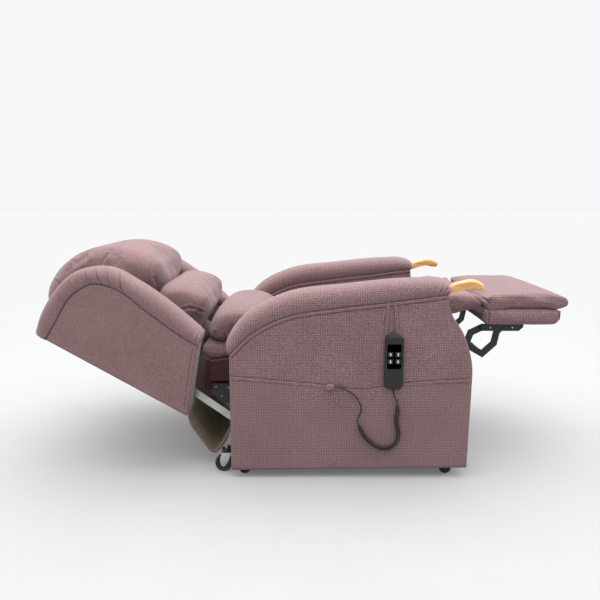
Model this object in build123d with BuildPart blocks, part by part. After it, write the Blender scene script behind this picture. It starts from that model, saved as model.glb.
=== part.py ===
"""Lift recliner armchair, drawn fully reclined with its leg rest out.

Units are millimetres. +X is the way the sitter faces, +Y the sitter's left, +Z up.
The origin is on the floor, under the middle of the reclined chair.
Outlines in the side view are (x, z) points. Outlines of the back are (up, out) points:
up along the back from its lower rear corner, out from its flat rear face.
"""

from build123d import *
from math import cos, pi, radians, sin, tan
import os

os.makedirs("parts", exist_ok=True)

# ---- overall sizes -------------------------------------------------------------------
WIDTH = 770.0            # between the outer faces of the two side panels
ARM_WIDTH = 130.0        # one arm, outer face to inner face
ARM_HEIGHT = 639.0       # floor to the highest point of the arm
PANEL = 15.0             # upholstered side board
INNER_PANEL = 14.0       # board on the seat side of the arm
PANEL_GAP = 24.0         # floor to the lower edge of the side panel at its rear corner

SIDES = (("right", -1), ("left", 1))
OUTER = WIDTH / 2                      # outer face of the side panel, from the middle
ARM_INNER = OUTER - ARM_WIDTH          # seat-side face of the arm, from the middle
RAIL_SLOT = 3.0                        # air beside a back rail
RAIL_THICK = 6.0                       # zinc bar that carries the back
RAIL_OUT = ARM_INNER - RAIL_SLOT       # outer face of a back rail, from the middle
SEAT_HALF = RAIL_OUT - RAIL_THICK - RAIL_SLOT   # half width of the seat and its cushions

# ---- back ----------------------------------------------------------------------------
BACK_LEAN = 30.0                       # reclined back above the horizontal, degrees
BACK_CORNER = (-350.0, 197.0)          # lower rear corner of the back
BACK_LENGTH = 524.0                    # lower corner to upper corner of the rear face
BACK_DEPTH = 150.0                     # rear face to the boards behind the pillows
WING_OUT = OUTER - 8.0                 # outer face of a wing, from the middle
WING_WIDTH = 100.0
HINGE = (3.0, 261.0)                   # axis on which the back reclines
HINGE_PIN = 16.0                       # diameter of the pivot pins
RUNNING = 0.05                         # radial clearance of a running fit

# ---- seat ----------------------------------------------------------------------------
SEAT_REAR = -300.0
SEAT_FRONT = 440.0
SEAT_LOW_REAR = 342.0   # underside of the cushion
SEAT_LOW_FRONT = 427.0
SEAT_TOP_FRONT = 550.0

# ---- base and lift -------------------------------------------------------------------
TUBE = 25.0                            # square steel tube
BASE_LOW = 10.0                        # floor to the underside of the base tubes
BASE_HALF = OUTER - 85.0               # middle of a base side tube, from the middle
WHEEL_D = 38.0
WHEEL_WIDE = 18.0
WHEEL_XS = (("rear", -178.0), ("front", 467.0))
WHEEL_Y = OUTER - 37.0
AXLE_D = 8.0
CASTER_D = 56.0
CASTER_WIDE = 18.0
CASTER_X = -237.0   # swivel axis
CASTER_Y = OUTER - 53.0
CASTER_TRAIL = 10.0
CASTER_STEM = 12.0
LIFT_PIVOT = (-150.0, 62.0)            # lift arm on the base
CHASSIS_PIVOT = (330.0, 92.0)          # seat chassis on the lift arm
LIFT_ARM_Y = 172.0
LIFT_ARM_THICK = 8.0
MOTOR_PIVOT = (430.0, 52.0)            # lift motor on the base
ROD_END = (100.0, 78.0)                # where the rod meets the lift arms

# ---- leg rest ------------------------------------------------------------------------
REST_FRONT = 859.0   # footrest, toes end and knee end
REST_REAR = 603.0
REST_LOW = 466.0
REST_SPLIT = 518.0
REST_TOP = 561.0
LINK_Y = 212.5
LINK_THICK = 7.0
LINK_WIDE = 21.0
LINK_STEP = 8.0                        # rear bars stand this much nearer the middle
BRACKET_Y = 226.0
BRACKET_THICK = 5.0
FRONT_LINK_PIN = (604.0, 450.0)
REAR_LINK_PIN = (675.0, 450.0)
LINK_PIN = 10.0

# ---- handset -------------------------------------------------------------------------
HANDSET_X = 286.5
HANDSET_WIDE = 59.0
HANDSET_LOW = 297.0
HANDSET_TOP = 463.0
HANDSET_THICK = 12.0
POCKET_THICK = 3.0
BUTTON = 15.0
BUTTON_GAP = 0.4
CORD_D = 4.2
COIL_D = 14.0
CORD_Y = -(OUTER + 11.0)               # plane that the cord hangs in


def side_view(y):
    """Plane of the side view, (x, z), at the height y, facing -Y."""
    return Plane.XZ.offset(-y)


def back_view(y):
    """Plane of the back's own (up, out) axes at y, facing +Y."""
    lean = radians(BACK_LEAN)
    corner = (BACK_CORNER[0], y, BACK_CORNER[1])
    return Plane(origin=corner, x_dir=(-cos(lean), 0, sin(lean)), z_dir=(0, 1, 0))


def layer(side, near, far):
    """Low and high y of a layer that lies from near to far of the middle, on one side."""
    return min(side * near, side * far), max(side * near, side * far)


def face_of(*points):
    """Fill a straight-sided outline in the current sketch."""
    with BuildLine() as outline:
        Polyline(*points, close=True)
    make_face(outline.edges())


def curved_face(curve, *rest):
    """Fill an outline: a smooth curve through the first points, straight through the rest."""
    with BuildLine() as outline:
        Spline(*curve)
        Polyline(curve[-1], *rest, curve[0])
    make_face(outline.edges())


def bar_face(points, width):
    """Fill the outline of a bent flat bar with round ends."""
    with BuildLine(mode=Mode.PRIVATE) as run:
        Polyline(*points)
    trace(run.line, line_width=width)
    for point in points:
        with Locations(point):
            Circle(width / 2)


def finish(part, name):
    """Label a finished piece and write it."""
    part.label = name
    export_step(part, f"parts/{name}.step")


# ---- arms ----------------------------------------------------------------------------
def arm_level(drop):
    """Height of a point that lies a given drop under the arm's highest point."""
    return ARM_HEIGHT - drop


SEAM = [(-218, arm_level(239)), (-156, arm_level(178)), (-53, arm_level(123)),
        (100, arm_level(95)), (253, arm_level(77)), (447, arm_level(51))]
CREST = [(-233, arm_level(208)), (-213, arm_level(170)), (-159, arm_level(111)),
         (-54, arm_level(58)), (155, arm_level(26)), (363, arm_level(1)),
         (415, arm_level(0)), (452, arm_level(13)), (466, arm_level(31))]
FRONT_EDGE = [(447, arm_level(51)), (453, arm_level(90)), (503, arm_level(179)),
              (530, arm_level(269)), (532, arm_level(356))]
FRONT_BACK = [(x - PANEL, z - 5) for x, z in FRONT_EDGE]
PANEL_REAR = -218.0
PANEL_FRONT = 528.0
PANEL_LOW_FRONT = PANEL_GAP + 8.0
RETURN_LOW = 100.0                     # lower edge of the board across the arm's rear end
INNER_LOW = 48.0                       # lower edge of the seat-side board


def panel_outline(low):
    """Side of the arm below its seam, down to a given height."""
    with BuildLine() as outline:
        Spline(*SEAM)
        Spline(*FRONT_EDGE)
        Polyline(FRONT_EDGE[-1], (PANEL_FRONT, low + 8), (PANEL_REAR, low), SEAM[0])
    make_face(outline.edges())


for side_name, side in SIDES:
    low, high = layer(side, OUTER - PANEL, OUTER)
    box_low, box_high = layer(side, ARM_INNER + INNER_PANEL, OUTER - PANEL)
    with BuildPart() as side_panel:
        with BuildSketch(side_view(high)):
            panel_outline(PANEL_GAP)
        extrude(amount=high - low)
        # boards across the arm's front and rear ends, inside the side board
        with BuildSketch(side_view(box_high)):
            with BuildLine():
                Spline(*FRONT_EDGE)
                Polyline(FRONT_EDGE[-1], (PANEL_FRONT, RETURN_LOW),
                         (PANEL_FRONT - PANEL, RETURN_LOW), FRONT_BACK[-1])
                Spline(*FRONT_BACK)
                Line(FRONT_BACK[0], FRONT_EDGE[0])
            make_face()
            with Locations((PANEL_REAR + PANEL / 2, (RETURN_LOW + SEAM[0][1]) / 2 - 1)):
                Rectangle(PANEL, SEAM[0][1] - RETURN_LOW - 2)
        extrude(amount=box_high - box_low)
    finish(side_panel.part, f"side_panel_{side_name}")

    low, high = layer(side, ARM_INNER, ARM_INNER + INNER_PANEL)
    with BuildPart() as inner_panel:
        with BuildSketch(side_view(high)):
            panel_outline(INNER_LOW)
        extrude(amount=high - low)
    finish(inner_panel.part, f"inner_panel_{side_name}")

    low, high = layer(side, ARM_INNER, OUTER)
    with BuildPart() as arm_roll:
        with BuildSketch(side_view(high)):
            with BuildLine():
                Spline(*CREST)
                Line(CREST[-1], SEAM[-1])
                Spline(*SEAM)
                Line(SEAM[0], CREST[0])
            make_face()
        extrude(amount=high - low)
    finish(arm_roll.part, f"arm_roll_{side_name}")

    handle_y = side * (OUTER + ARM_INNER) / 2
    with BuildPart() as arm_handle:
        with BuildSketch(side_view(handle_y + 13)):
            with BuildLine():
                Spline((466, arm_level(32)), (506, arm_level(16)), (528, arm_level(12)),
                       (553, arm_level(17)), (573, arm_level(33)))
                Spline((573, arm_level(33)), (570, arm_level(46)), (554, arm_level(48)),
                       (523, arm_level(43)), (480, arm_level(53)), (458, arm_level(60)))
                Line((458, arm_level(60)), (466, arm_level(32)))
            make_face()
        extrude(amount=26)
    finish(arm_handle.part, f"arm_handle_{side_name}")

# ---- pocket on the right side --------------------------------------------------------
HEM = [(-214, 334), (103, 303), (181, 292), (311, 311), (526, 327)]
with BuildPart() as side_pocket:
    with BuildSketch(side_view(-OUTER)):
        curved_face(HEM, (526, PANEL_LOW_FRONT + 4), (-214, PANEL_GAP + 4))
    extrude(amount=POCKET_THICK)
finish(side_pocket.part, "side_pocket")

# ---- base ----------------------------------------------------------------------------
BASE_REAR = -195.0
BASE_FRONT = 505.0
base_mid = BASE_LOW + TUBE / 2
LUG_THICK = 8.0
LUG_Y = LIFT_ARM_Y + LIFT_ARM_THICK / 2 + 2 + LUG_THICK / 2
CASTER_PLATE_LOW = CASTER_D + 14.0
CASTER_PLATE_THICK = 8.0
CASTER_POST_X = -178.0
FRONT_CROSS_X = 452.0

with BuildPart() as base_frame:
    for side in (-1, 1):
        with BuildSketch(Plane.YZ.offset(BASE_REAR)):
            with Locations((side * BASE_HALF, base_mid)):
                Rectangle(TUBE, TUBE)
        extrude(amount=BASE_FRONT - BASE_REAR)
    for x in (LIFT_PIVOT[0], FRONT_CROSS_X):
        with Locations((x, 0, base_mid)):
            Box(TUBE, 2 * BASE_HALF, TUBE)
    for side in (-1, 1):
        low, high = layer(side, LUG_Y - LUG_THICK / 2, LUG_Y + LUG_THICK / 2)
        with BuildSketch(side_view(high)):
            face_of((LIFT_PIVOT[0] - 20, base_mid), (LIFT_PIVOT[0] + 20, base_mid),
                    (LIFT_PIVOT[0] + 12, LIFT_PIVOT[1]), (LIFT_PIVOT[0] - 12, LIFT_PIVOT[1]))
            with Locations(LIFT_PIVOT):
                Circle(14)
        extrude(amount=LUG_THICK)
        pin_low, pin_high = layer(side, LIFT_ARM_Y - LIFT_ARM_THICK / 2 - 4, LUG_Y)
        with BuildSketch(side_view(pin_high)):
            with Locations(LIFT_PIVOT):
                Circle(HINGE_PIN / 2)
        extrude(amount=pin_high - pin_low)
        # caster outrigger: post on the side tube, plate over the swivel
        post_top = CASTER_PLATE_LOW + CASTER_PLATE_THICK
        with Locations((CASTER_POST_X, side * BASE_HALF, (base_mid + post_top) / 2)):
            Box(TUBE, TUBE, post_top - base_mid)
        with BuildSketch(Plane.XY.offset(CASTER_PLATE_LOW)):
            face_of((CASTER_POST_X + 12, side * (BASE_HALF - 12)),
                    (CASTER_POST_X + 12, side * (BASE_HALF + 22)),
                    (CASTER_X, side * (CASTER_Y + 16)), (CASTER_X, side * (CASTER_Y - 16)),
                    (CASTER_POST_X - 12, side * (BASE_HALF - 12)))
            with Locations((CASTER_X, side * CASTER_Y)):
                Circle(16)
                Circle(CASTER_STEM / 2 + RUNNING, mode=Mode.SUBTRACT)
        extrude(amount=CASTER_PLATE_THICK)
        # axles of the small wheels
        for _, x in WHEEL_XS:
            axle_low, axle_high = layer(side, BASE_HALF, WHEEL_Y + WHEEL_WIDE / 2 + 3)
            with BuildSketch(side_view(axle_high)):
                with Locations((x, WHEEL_D / 2)):
                    Circle(AXLE_D / 2)
            extrude(amount=axle_high - axle_low)
    # lugs that hold the tail of the lift motor
    for side in (-1, 1):
        with BuildSketch(side_view(side * 24 + 3)):
            face_of((MOTOR_PIVOT[0] - 12, MOTOR_PIVOT[1]), (MOTOR_PIVOT[0] + 12, MOTOR_PIVOT[1]),
                    (FRONT_CROSS_X + 12, base_mid), (FRONT_CROSS_X - 12, base_mid))
            with Locations(MOTOR_PIVOT):
                Circle(12)
        extrude(amount=6)
finish(base_frame.part, "base_frame")

for place, x in WHEEL_XS:
    for side_name, side in SIDES:
        low, high = layer(side, WHEEL_Y - WHEEL_WIDE / 2, WHEEL_Y + WHEEL_WIDE / 2)
        with BuildPart() as base_wheel:
            with BuildSketch(side_view(high)):
                with Locations((x, WHEEL_D / 2)):
                    Circle(WHEEL_D / 2)
                    Circle(AXLE_D / 2 + RUNNING, mode=Mode.SUBTRACT)
            extrude(amount=WHEEL_WIDE)
        finish(base_wheel.part, f"wheel_{place}_{side_name}")

FORK_GAP = CASTER_WIDE / 2 + 1.5
FORK_PLATE = 3.0
CROWN_LOW = CASTER_D + 4
CROWN_THICK = 6.0
for side_name, side in SIDES:
    y = side * CASTER_Y
    wheel_at = (CASTER_X - CASTER_TRAIL, CASTER_D / 2)
    with BuildPart() as caster_fork:
        for leg in (-1, 1):
            with BuildSketch(side_view(y + leg * (FORK_GAP + FORK_PLATE / 2) + FORK_PLATE / 2)):
                face_of((CASTER_X - 16, CROWN_LOW + CROWN_THICK), (CASTER_X + 14, CROWN_LOW + CROWN_THICK),
                        (CASTER_X + 6, CASTER_D / 2 + 10), (wheel_at[0] + 7, CASTER_D / 2 - 4),
                        (wheel_at[0] - 9, CASTER_D / 2 - 4))
                with Locations(wheel_at):
                    Circle(9)
            extrude(amount=FORK_PLATE)
        with Locations((CASTER_X - 1, y, CROWN_LOW + CROWN_THICK / 2)):
            Box(30, 2 * FORK_GAP + 2 * FORK_PLATE, CROWN_THICK)
        with Locations((CASTER_X, y, CROWN_LOW + CROWN_THICK)):
            Cylinder(CASTER_STEM / 2, 20, align=(Align.CENTER, Align.CENTER, Align.MIN))
        with BuildSketch(side_view(y + FORK_GAP + FORK_PLATE)):
            with Locations(wheel_at):
                Circle(AXLE_D / 2)
        extrude(amount=2 * FORK_GAP + 2 * FORK_PLATE)
    finish(caster_fork.part, f"caster_fork_{side_name}")

    with BuildPart() as caster_wheel:
        with BuildSketch(side_view(y + CASTER_WIDE / 2)):
            with Locations(wheel_at):
                Circle(CASTER_D / 2)
                Circle(AXLE_D / 2 + RUNNING, mode=Mode.SUBTRACT)
        extrude(amount=CASTER_WIDE)
        fillet(caster_wheel.edges().filter_by(GeomType.CIRCLE).group_by(SortBy.RADIUS)[-1], 4)
    finish(caster_wheel.part, f"caster_wheel_{side_name}")

with BuildPart() as power_box:
    with Locations((LIFT_PIVOT[0] - 5, 90, BASE_LOW + TUBE + 20)):
        Box(110, 130, 40)
    fillet(power_box.edges().filter_by(Axis.Z), 6)
    # mains inlet in the rear face
    with Locations((LIFT_PIVOT[0] - 60, 90, BASE_LOW + TUBE + 20)):
        Box(20, 28, 20, mode=Mode.SUBTRACT)
finish(power_box.part, "power_box")

# ---- lift arms and motor -------------------------------------------------------------
TIE_X = ROD_END[0]
TIE_Z = ROD_END[1] + 50
with BuildPart() as lift_arms:
    for side in (-1, 1):
        with BuildSketch(side_view(side * LIFT_ARM_Y + LIFT_ARM_THICK / 2)):
            bar_face([LIFT_PIVOT, CHASSIS_PIVOT], 38)
            bar_face([(ROD_END[0] + 10, ROD_END[1]), (TIE_X, TIE_Z)], 34)
            for pivot in (LIFT_PIVOT, CHASSIS_PIVOT):
                with Locations(pivot):
                    Circle(HINGE_PIN / 2 + RUNNING, mode=Mode.SUBTRACT)
        extrude(amount=LIFT_ARM_THICK)
    with BuildSketch(side_view(LIFT_ARM_Y)):
        with Locations((TIE_X, TIE_Z)):
            Circle(13)
    extrude(amount=2 * LIFT_ARM_Y)
finish(lift_arms.part, "lift_arms")

MOTOR_LENGTH = 200.0
rod_run = Vector(ROD_END[0] - MOTOR_PIVOT[0], 0, ROD_END[1] - MOTOR_PIVOT[1])
motor_plane = Plane(origin=(MOTOR_PIVOT[0], 0, MOTOR_PIVOT[1]), x_dir=(0, 1, 0), z_dir=rod_run)
with BuildPart() as lift_motor:
    with BuildSketch(motor_plane.offset(16)):
        Rectangle(40, 38)
    extrude(amount=MOTOR_LENGTH - 16)
    with BuildSketch(motor_plane.offset(MOTOR_LENGTH - 30)):
        Circle(8.2)
    extrude(amount=40, mode=Mode.SUBTRACT)
    with BuildSketch(motor_plane.offset(-10)):
        Rectangle(20, 18)
    extrude(amount=30)
finish(lift_motor.part, "lift_motor")

with BuildPart() as lift_rod:
    with BuildSketch(motor_plane.offset(MOTOR_LENGTH - 28)):
        Circle(8)
    extrude(amount=rod_run.length - MOTOR_LENGTH + 28)
    with BuildSketch(side_view(9)):
        with Locations(ROD_END):
            Circle(13)
    extrude(amount=18)
finish(lift_rod.part, "lift_rod")

# ---- seat chassis --------------------------------------------------------------------
CHASSIS_LOW = 225.0
CHASSIS_Y = 187.5
CHASSIS_REAR = -250.0
CHASSIS_FRONT = 425.0
chassis_mid = CHASSIS_LOW + TUBE / 2
PLATE_THICK = 4.0
PLATE_IN = SEAT_HALF - 3.0
with BuildPart() as chassis_frame:
    for side in (-1, 1):
        with Locations(((CHASSIS_REAR + CHASSIS_FRONT) / 2, side * CHASSIS_Y, chassis_mid)):
            Box(CHASSIS_FRONT - CHASSIS_REAR, TUBE, TUBE)
        low, high = layer(side, LUG_Y - LUG_THICK / 2, LUG_Y + LUG_THICK / 2)
        with BuildSketch(side_view(high)):
            face_of((CHASSIS_PIVOT[0] - 45, chassis_mid), (CHASSIS_PIVOT[0] + 45, chassis_mid),
                    (CHASSIS_PIVOT[0] + 13, CHASSIS_PIVOT[1]), (CHASSIS_PIVOT[0] - 13, CHASSIS_PIVOT[1]))
            with Locations(CHASSIS_PIVOT):
                Circle(15)
        extrude(amount=LUG_THICK)
        pin_low, pin_high = layer(side, LIFT_ARM_Y - LIFT_ARM_THICK / 2 - 4, LUG_Y)
        with BuildSketch(side_view(pin_high)):
            with Locations(CHASSIS_PIVOT):
                Circle(HINGE_PIN / 2)
        extrude(amount=pin_high - pin_low)
        # upright lug and pivot pin of the back
        low, high = layer(side, CHASSIS_Y + TUBE / 2 - 6, CHASSIS_Y + TUBE / 2 + 2)
        with BuildSketch(side_view(high)):
            face_of((HINGE[0] - 30, chassis_mid), (HINGE[0] + 30, chassis_mid),
                    (HINGE[0] + 14, HINGE[1]), (HINGE[0] - 14, HINGE[1]))
            with Locations(HINGE):
                Circle(15)
        extrude(amount=high - low)
        pin_low, pin_high = layer(side, CHASSIS_Y, RAIL_OUT + 1.5)
        with BuildSketch(side_view(pin_high)):
            with Locations(HINGE):
                Circle(HINGE_PIN / 2)
        extrude(amount=pin_high - pin_low)
        # outriggers that the side panels bolt to
        for x in (50, 300):
            low, high = layer(side, CHASSIS_Y, ARM_INNER)
            with Locations((x, (low + high) / 2, CHASSIS_LOW + 5)):
                Box(40, high - low, 10)
    for x in (CHASSIS_REAR + TUBE / 2, CHASSIS_FRONT - TUBE / 2):
        with Locations((x, 0, chassis_mid)):
            Box(TUBE, 2 * CHASSIS_Y, TUBE)
finish(chassis_frame.part, "chassis_frame")

# the flat plate behind each arm, where the back's stops bear
for side_name, side in SIDES:
    low, high = layer(side, PLATE_IN, PLATE_IN + PLATE_THICK)
    with BuildPart() as hinge_plate:
        with BuildSketch(side_view(high)):
            face_of((-292, 266), (-292, 232), (-262, 198), (-150, 198), (-150, 266))
        extrude(amount=PLATE_THICK)
        with Locations((-200, (low + high) / 2, CHASSIS_LOW + TUBE / 2)):
            Box(60, PLATE_THICK, TUBE)
        # spacer that stands the plate off the chassis tube
        low, high = layer(side, CHASSIS_Y + TUBE / 2, PLATE_IN)
        with Locations((-190, (low + high) / 2, CHASSIS_LOW + TUBE / 2)):
            Box(50, high - low, TUBE - 5)
    finish(hinge_plate.part, f"hinge_plate_{side_name}")

with BuildPart() as frame_rivets:
    for side in (-1, 1):
        low, high = layer(side, PLATE_IN + PLATE_THICK, PLATE_IN + PLATE_THICK + 1.6)
        with BuildSketch(side_view(high)):
            with Locations((-280, 255), (-238, 252), (-262, 222)):
                Circle(5)
        extrude(amount=high - low)
finish(frame_rivets.part, "frame_rivets")

with BuildPart() as control_box:
    with Locations((-215, 0, CHASSIS_LOW + TUBE + 17)):
        Box(70, 150, 34)
    fillet(control_box.edges().filter_by(Axis.Z), 5)
finish(control_box.part, "control_box")

DECK_THICK = 12.0
APRON_LOW = 275.0
APRON_FRONT = 300.0
DECK_HALF = 200.0


def deck_z(x, drop):
    """Height of the sloping seat deck at x, a given drop below the cushion's underside."""
    rise = (SEAT_LOW_FRONT - SEAT_LOW_REAR) / (SEAT_FRONT - SEAT_REAR)
    return SEAT_LOW_REAR + (x - SEAT_REAR) * rise - drop


with BuildPart() as seat_platform:
    with BuildSketch(side_view(DECK_HALF)):
        face_of((SEAT_REAR, deck_z(SEAT_REAR, 0)), (SEAT_FRONT, deck_z(SEAT_FRONT, 0)),
                (SEAT_FRONT, deck_z(SEAT_FRONT, DECK_THICK)),
                (SEAT_REAR, deck_z(SEAT_REAR, DECK_THICK)))
    extrude(amount=2 * DECK_HALF)
    for side in (-1, 1):
        low, high = layer(side, DECK_HALF, SEAT_HALF)
        with BuildSketch(side_view(high)):
            face_of((SEAT_REAR, deck_z(SEAT_REAR, 0)), (APRON_FRONT, deck_z(APRON_FRONT, 0)),
                    (APRON_FRONT, deck_z(APRON_FRONT, 30)), (SEAT_REAR, deck_z(SEAT_REAR, 30)))
        extrude(amount=high - low)
        low, high = layer(side, SEAT_HALF - 12, SEAT_HALF)
        with BuildSketch(side_view(high)):
            face_of((SEAT_REAR, deck_z(SEAT_REAR, 10)), (APRON_FRONT, deck_z(APRON_FRONT, 10)),
                    (APRON_FRONT, APRON_LOW), (SEAT_REAR, APRON_LOW))
        extrude(amount=high - low)
    # posts that carry the deck on the chassis tubes
    for x in (-170, 270):
        for side in (-1, 1):
            with BuildSketch(Plane.XY.offset(CHASSIS_LOW + TUBE)):
                with Locations((x, side * CHASSIS_Y)):
                    Rectangle(40, TUBE)
            extrude(amount=deck_z(x, DECK_THICK / 2) - CHASSIS_LOW - TUBE)
finish(seat_platform.part, "seat_platform")

with BuildPart() as seat_cushion:
    with BuildSketch(side_view(SEAT_HALF)):
        with BuildLine():
            Spline((SEAT_REAR, SEAT_LOW_REAR + 46), (-190, 396), (-84, 414), (40, 430), (120, 452),
                   (230, 502), (SEAT_FRONT - 70, SEAT_TOP_FRONT - 3), (SEAT_FRONT - 6, SEAT_TOP_FRONT - 22))
            Polyline((SEAT_FRONT - 6, SEAT_TOP_FRONT - 22), (SEAT_FRONT, SEAT_LOW_FRONT),
                     (SEAT_REAR, SEAT_LOW_REAR), (SEAT_REAR, SEAT_LOW_REAR + 46))
        make_face()
    extrude(amount=2 * SEAT_HALF)
finish(seat_cushion.part, "seat_cushion")

with BuildPart() as lumbar_cushion:
    with BuildSketch(side_view(SEAT_HALF)):
        with BuildLine():
            Spline((-322, 412), (-303, 478), (-262, 528), (-188, 543), (-110, 522), (-60, 472))
            Line((-60, 472), (-84, 430))
            Spline((-84, 430), (-190, 408), (-312, 404))
            Line((-312, 404), (-322, 412))
        make_face()
    extrude(amount=2 * SEAT_HALF)
finish(lumbar_cushion.part, "lumbar_cushion")

# ---- back ----------------------------------------------------------------------------
BACK_FOOT = 86.0                       # lower end of the boards, up from the wing's corner
BOARD_HALF = RAIL_OUT - RAIL_THICK     # half width of the boards, against the rails
WING_SEAM = [(497, 60), (486, 175), (452, 228), (388, 249), (276, 236), (152, 220), (84, 217)]
WING_CREST = [(550, 30), (551, 123), (517, 231), (440, 288), (336, 294), (196, 278), (88, 254)]


with BuildPart() as back_frame:
    with BuildSketch(back_view(-BOARD_HALF)):
        face_of((BACK_FOOT, 10), (BACK_LENGTH, 10), (BACK_LENGTH, BACK_DEPTH), (BACK_FOOT, BACK_DEPTH))
    extrude(amount=2 * BOARD_HALF)
    # fabric cover stretched over the rear face, down to the lower corner
    with BuildSketch(back_view(-WING_OUT)):
        face_of((4, 0), (BACK_LENGTH, 0), (BACK_LENGTH, 10), (4, 10))
    extrude(amount=2 * WING_OUT)
finish(back_frame.part, "back_frame")

for side_name, side in SIDES:
    low, high = layer(side, WING_OUT - WING_WIDTH, WING_OUT)
    with BuildPart() as wing:
        with BuildSketch(back_view(low)):
            with BuildLine():
                Spline(*WING_SEAM)
                Spline((84, 217), (64, 157), (40, 93), (8, 10.5))
                Polyline((8, 10.5), (BACK_LENGTH - 26, 10.5), WING_SEAM[0])
            make_face()
        extrude(amount=high - low)
    finish(wing.part, f"wing_{side_name}")

    with BuildPart() as wing_roll:
        with BuildSketch(back_view(low)):
            with BuildLine():
                Spline(*WING_CREST)
                Line(WING_CREST[-1], WING_SEAM[-1])
                Spline(*WING_SEAM)
                Polyline(WING_SEAM[0], (BACK_LENGTH - 26, 10.5), (BACK_LENGTH + 16, 10.5), WING_CREST[0])
            make_face()
        extrude(amount=high - low)
    finish(wing_roll.part, f"wing_roll_{side_name}")

    # bar from the back's lower corner to its pivot
    low, high = layer(side, RAIL_OUT - RAIL_THICK, RAIL_OUT)
    with BuildPart() as back_rail:
        with BuildSketch(side_view(high)):
            bar_face([(-536, 374), (-392, 272), (-347, 237), (-228, 152), (-150, 180), HINGE], 24)
            with Locations(HINGE):
                Circle(HINGE_PIN / 2 + RUNNING, mode=Mode.SUBTRACT)
        extrude(amount=high - low)
    finish(back_rail.part, f"back_rail_{side_name}")

with BuildPart() as head_cushion:
    with BuildSketch(back_view(-SEAT_HALF)):
        with BuildLine():
            Spline((602, 30), (617, 66), (624, 113), (614, 179), (581, 250), (535, 306),
                   (482, 345), (423, 374), (366, 388), (323, 384), (300, 350))
            Polyline((300, 350), (294, 280), (297, BACK_DEPTH), (BACK_LENGTH + 26, BACK_DEPTH),
                     (BACK_LENGTH + 26, 12), (BACK_LENGTH + 56, 12), (602, 30))
        make_face()
    extrude(amount=2 * SEAT_HALF)
finish(head_cushion.part, "head_cushion")

with BuildPart() as mid_cushion:
    with BuildSketch(back_view(-SEAT_HALF)):
        with BuildLine():
            Spline((292, 309), (255, 339), (207, 356), (157, 363), (128, 350), (118, 322))
            Polyline((118, 322), (117, BACK_DEPTH), (294, BACK_DEPTH), (291, 280), (292, 309))
        make_face()
    extrude(amount=2 * SEAT_HALF)
finish(mid_cushion.part, "mid_cushion")

SKIRT_HALF = 289.0
with BuildPart() as rear_skirt:
    with BuildLine(mode=Mode.PRIVATE) as drape:
        Spline((-366, 172), (-329, 90), (-283, 41), (-250, 76), (-232, 120))
    with BuildSketch(side_view(SKIRT_HALF)):
        trace(drape.line, line_width=3)
    extrude(amount=2 * SKIRT_HALF)
finish(rear_skirt.part, "rear_skirt")

# ---- leg rest ------------------------------------------------------------------------
REST_HALF = 250.0
with BuildPart() as leg_flap:
    with BuildSketch(side_view(SEAT_HALF)):
        face_of((456, 566), (491, 580), (REST_REAR - 2, REST_SPLIT + 32), (REST_REAR - 2, REST_SPLIT + 11),
                (495, 496), (462, 492))
    extrude(amount=2 * SEAT_HALF)
finish(leg_flap.part, "leg_flap")

with BuildPart() as footrest_pad:
    with BuildSketch(side_view(REST_HALF)):
        with BuildLine():
            Polyline((REST_REAR, REST_TOP - 12), (REST_REAR, REST_SPLIT + 0.5), (REST_FRONT - 4, REST_SPLIT + 0.5))
            Spline((REST_FRONT - 4, REST_SPLIT + 0.5), (REST_FRONT + 5, REST_SPLIT + 20),
                   (REST_FRONT - 24, REST_TOP - 4), (REST_REAR + 110, REST_TOP), (REST_REAR, REST_TOP - 12))
        make_face()
    extrude(amount=2 * REST_HALF)
finish(footrest_pad.part, "footrest_pad")

with BuildPart() as footrest_box:
    with BuildSketch(side_view(REST_HALF)):
        face_of((REST_REAR, REST_LOW), (REST_FRONT - 28, REST_LOW), (REST_FRONT - 5, REST_LOW + 26),
                (REST_FRONT - 5, REST_SPLIT), (REST_REAR, REST_SPLIT))
    extrude(amount=2 * REST_HALF)
finish(footrest_box.part, "footrest_box")

for side_name, side in SIDES:
    low, high = layer(side, BRACKET_Y, BRACKET_Y + BRACKET_THICK)
    pin_low, pin_high = layer(side, LINK_Y - LINK_STEP - LINK_THICK / 2, BRACKET_Y)
    flange_low, flange_high = layer(side, BRACKET_Y - 22, BRACKET_Y + BRACKET_THICK)
    with BuildPart() as footrest_bracket:
        with BuildSketch(side_view(high)):
            face_of((597, REST_LOW), (597, 442), (722, 442), (737, 455), (737, REST_LOW))
        extrude(amount=BRACKET_THICK)
        with Locations((676, (flange_low + flange_high) / 2, REST_LOW - 0.5)):
            Box(122, flange_high - flange_low, 1.0)
        with BuildSketch(side_view(pin_high)):
            with Locations(FRONT_LINK_PIN, REAR_LINK_PIN):
                Circle(LINK_PIN / 2)
        extrude(amount=pin_high - pin_low)
        head_low, head_high = layer(side, BRACKET_Y + BRACKET_THICK, BRACKET_Y + BRACKET_THICK + 2)
        with BuildSketch(side_view(head_high)):
            with Locations(FRONT_LINK_PIN, REAR_LINK_PIN):
                Circle(6)
        extrude(amount=2)
    finish(footrest_bracket.part, f"footrest_bracket_{side_name}")

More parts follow.
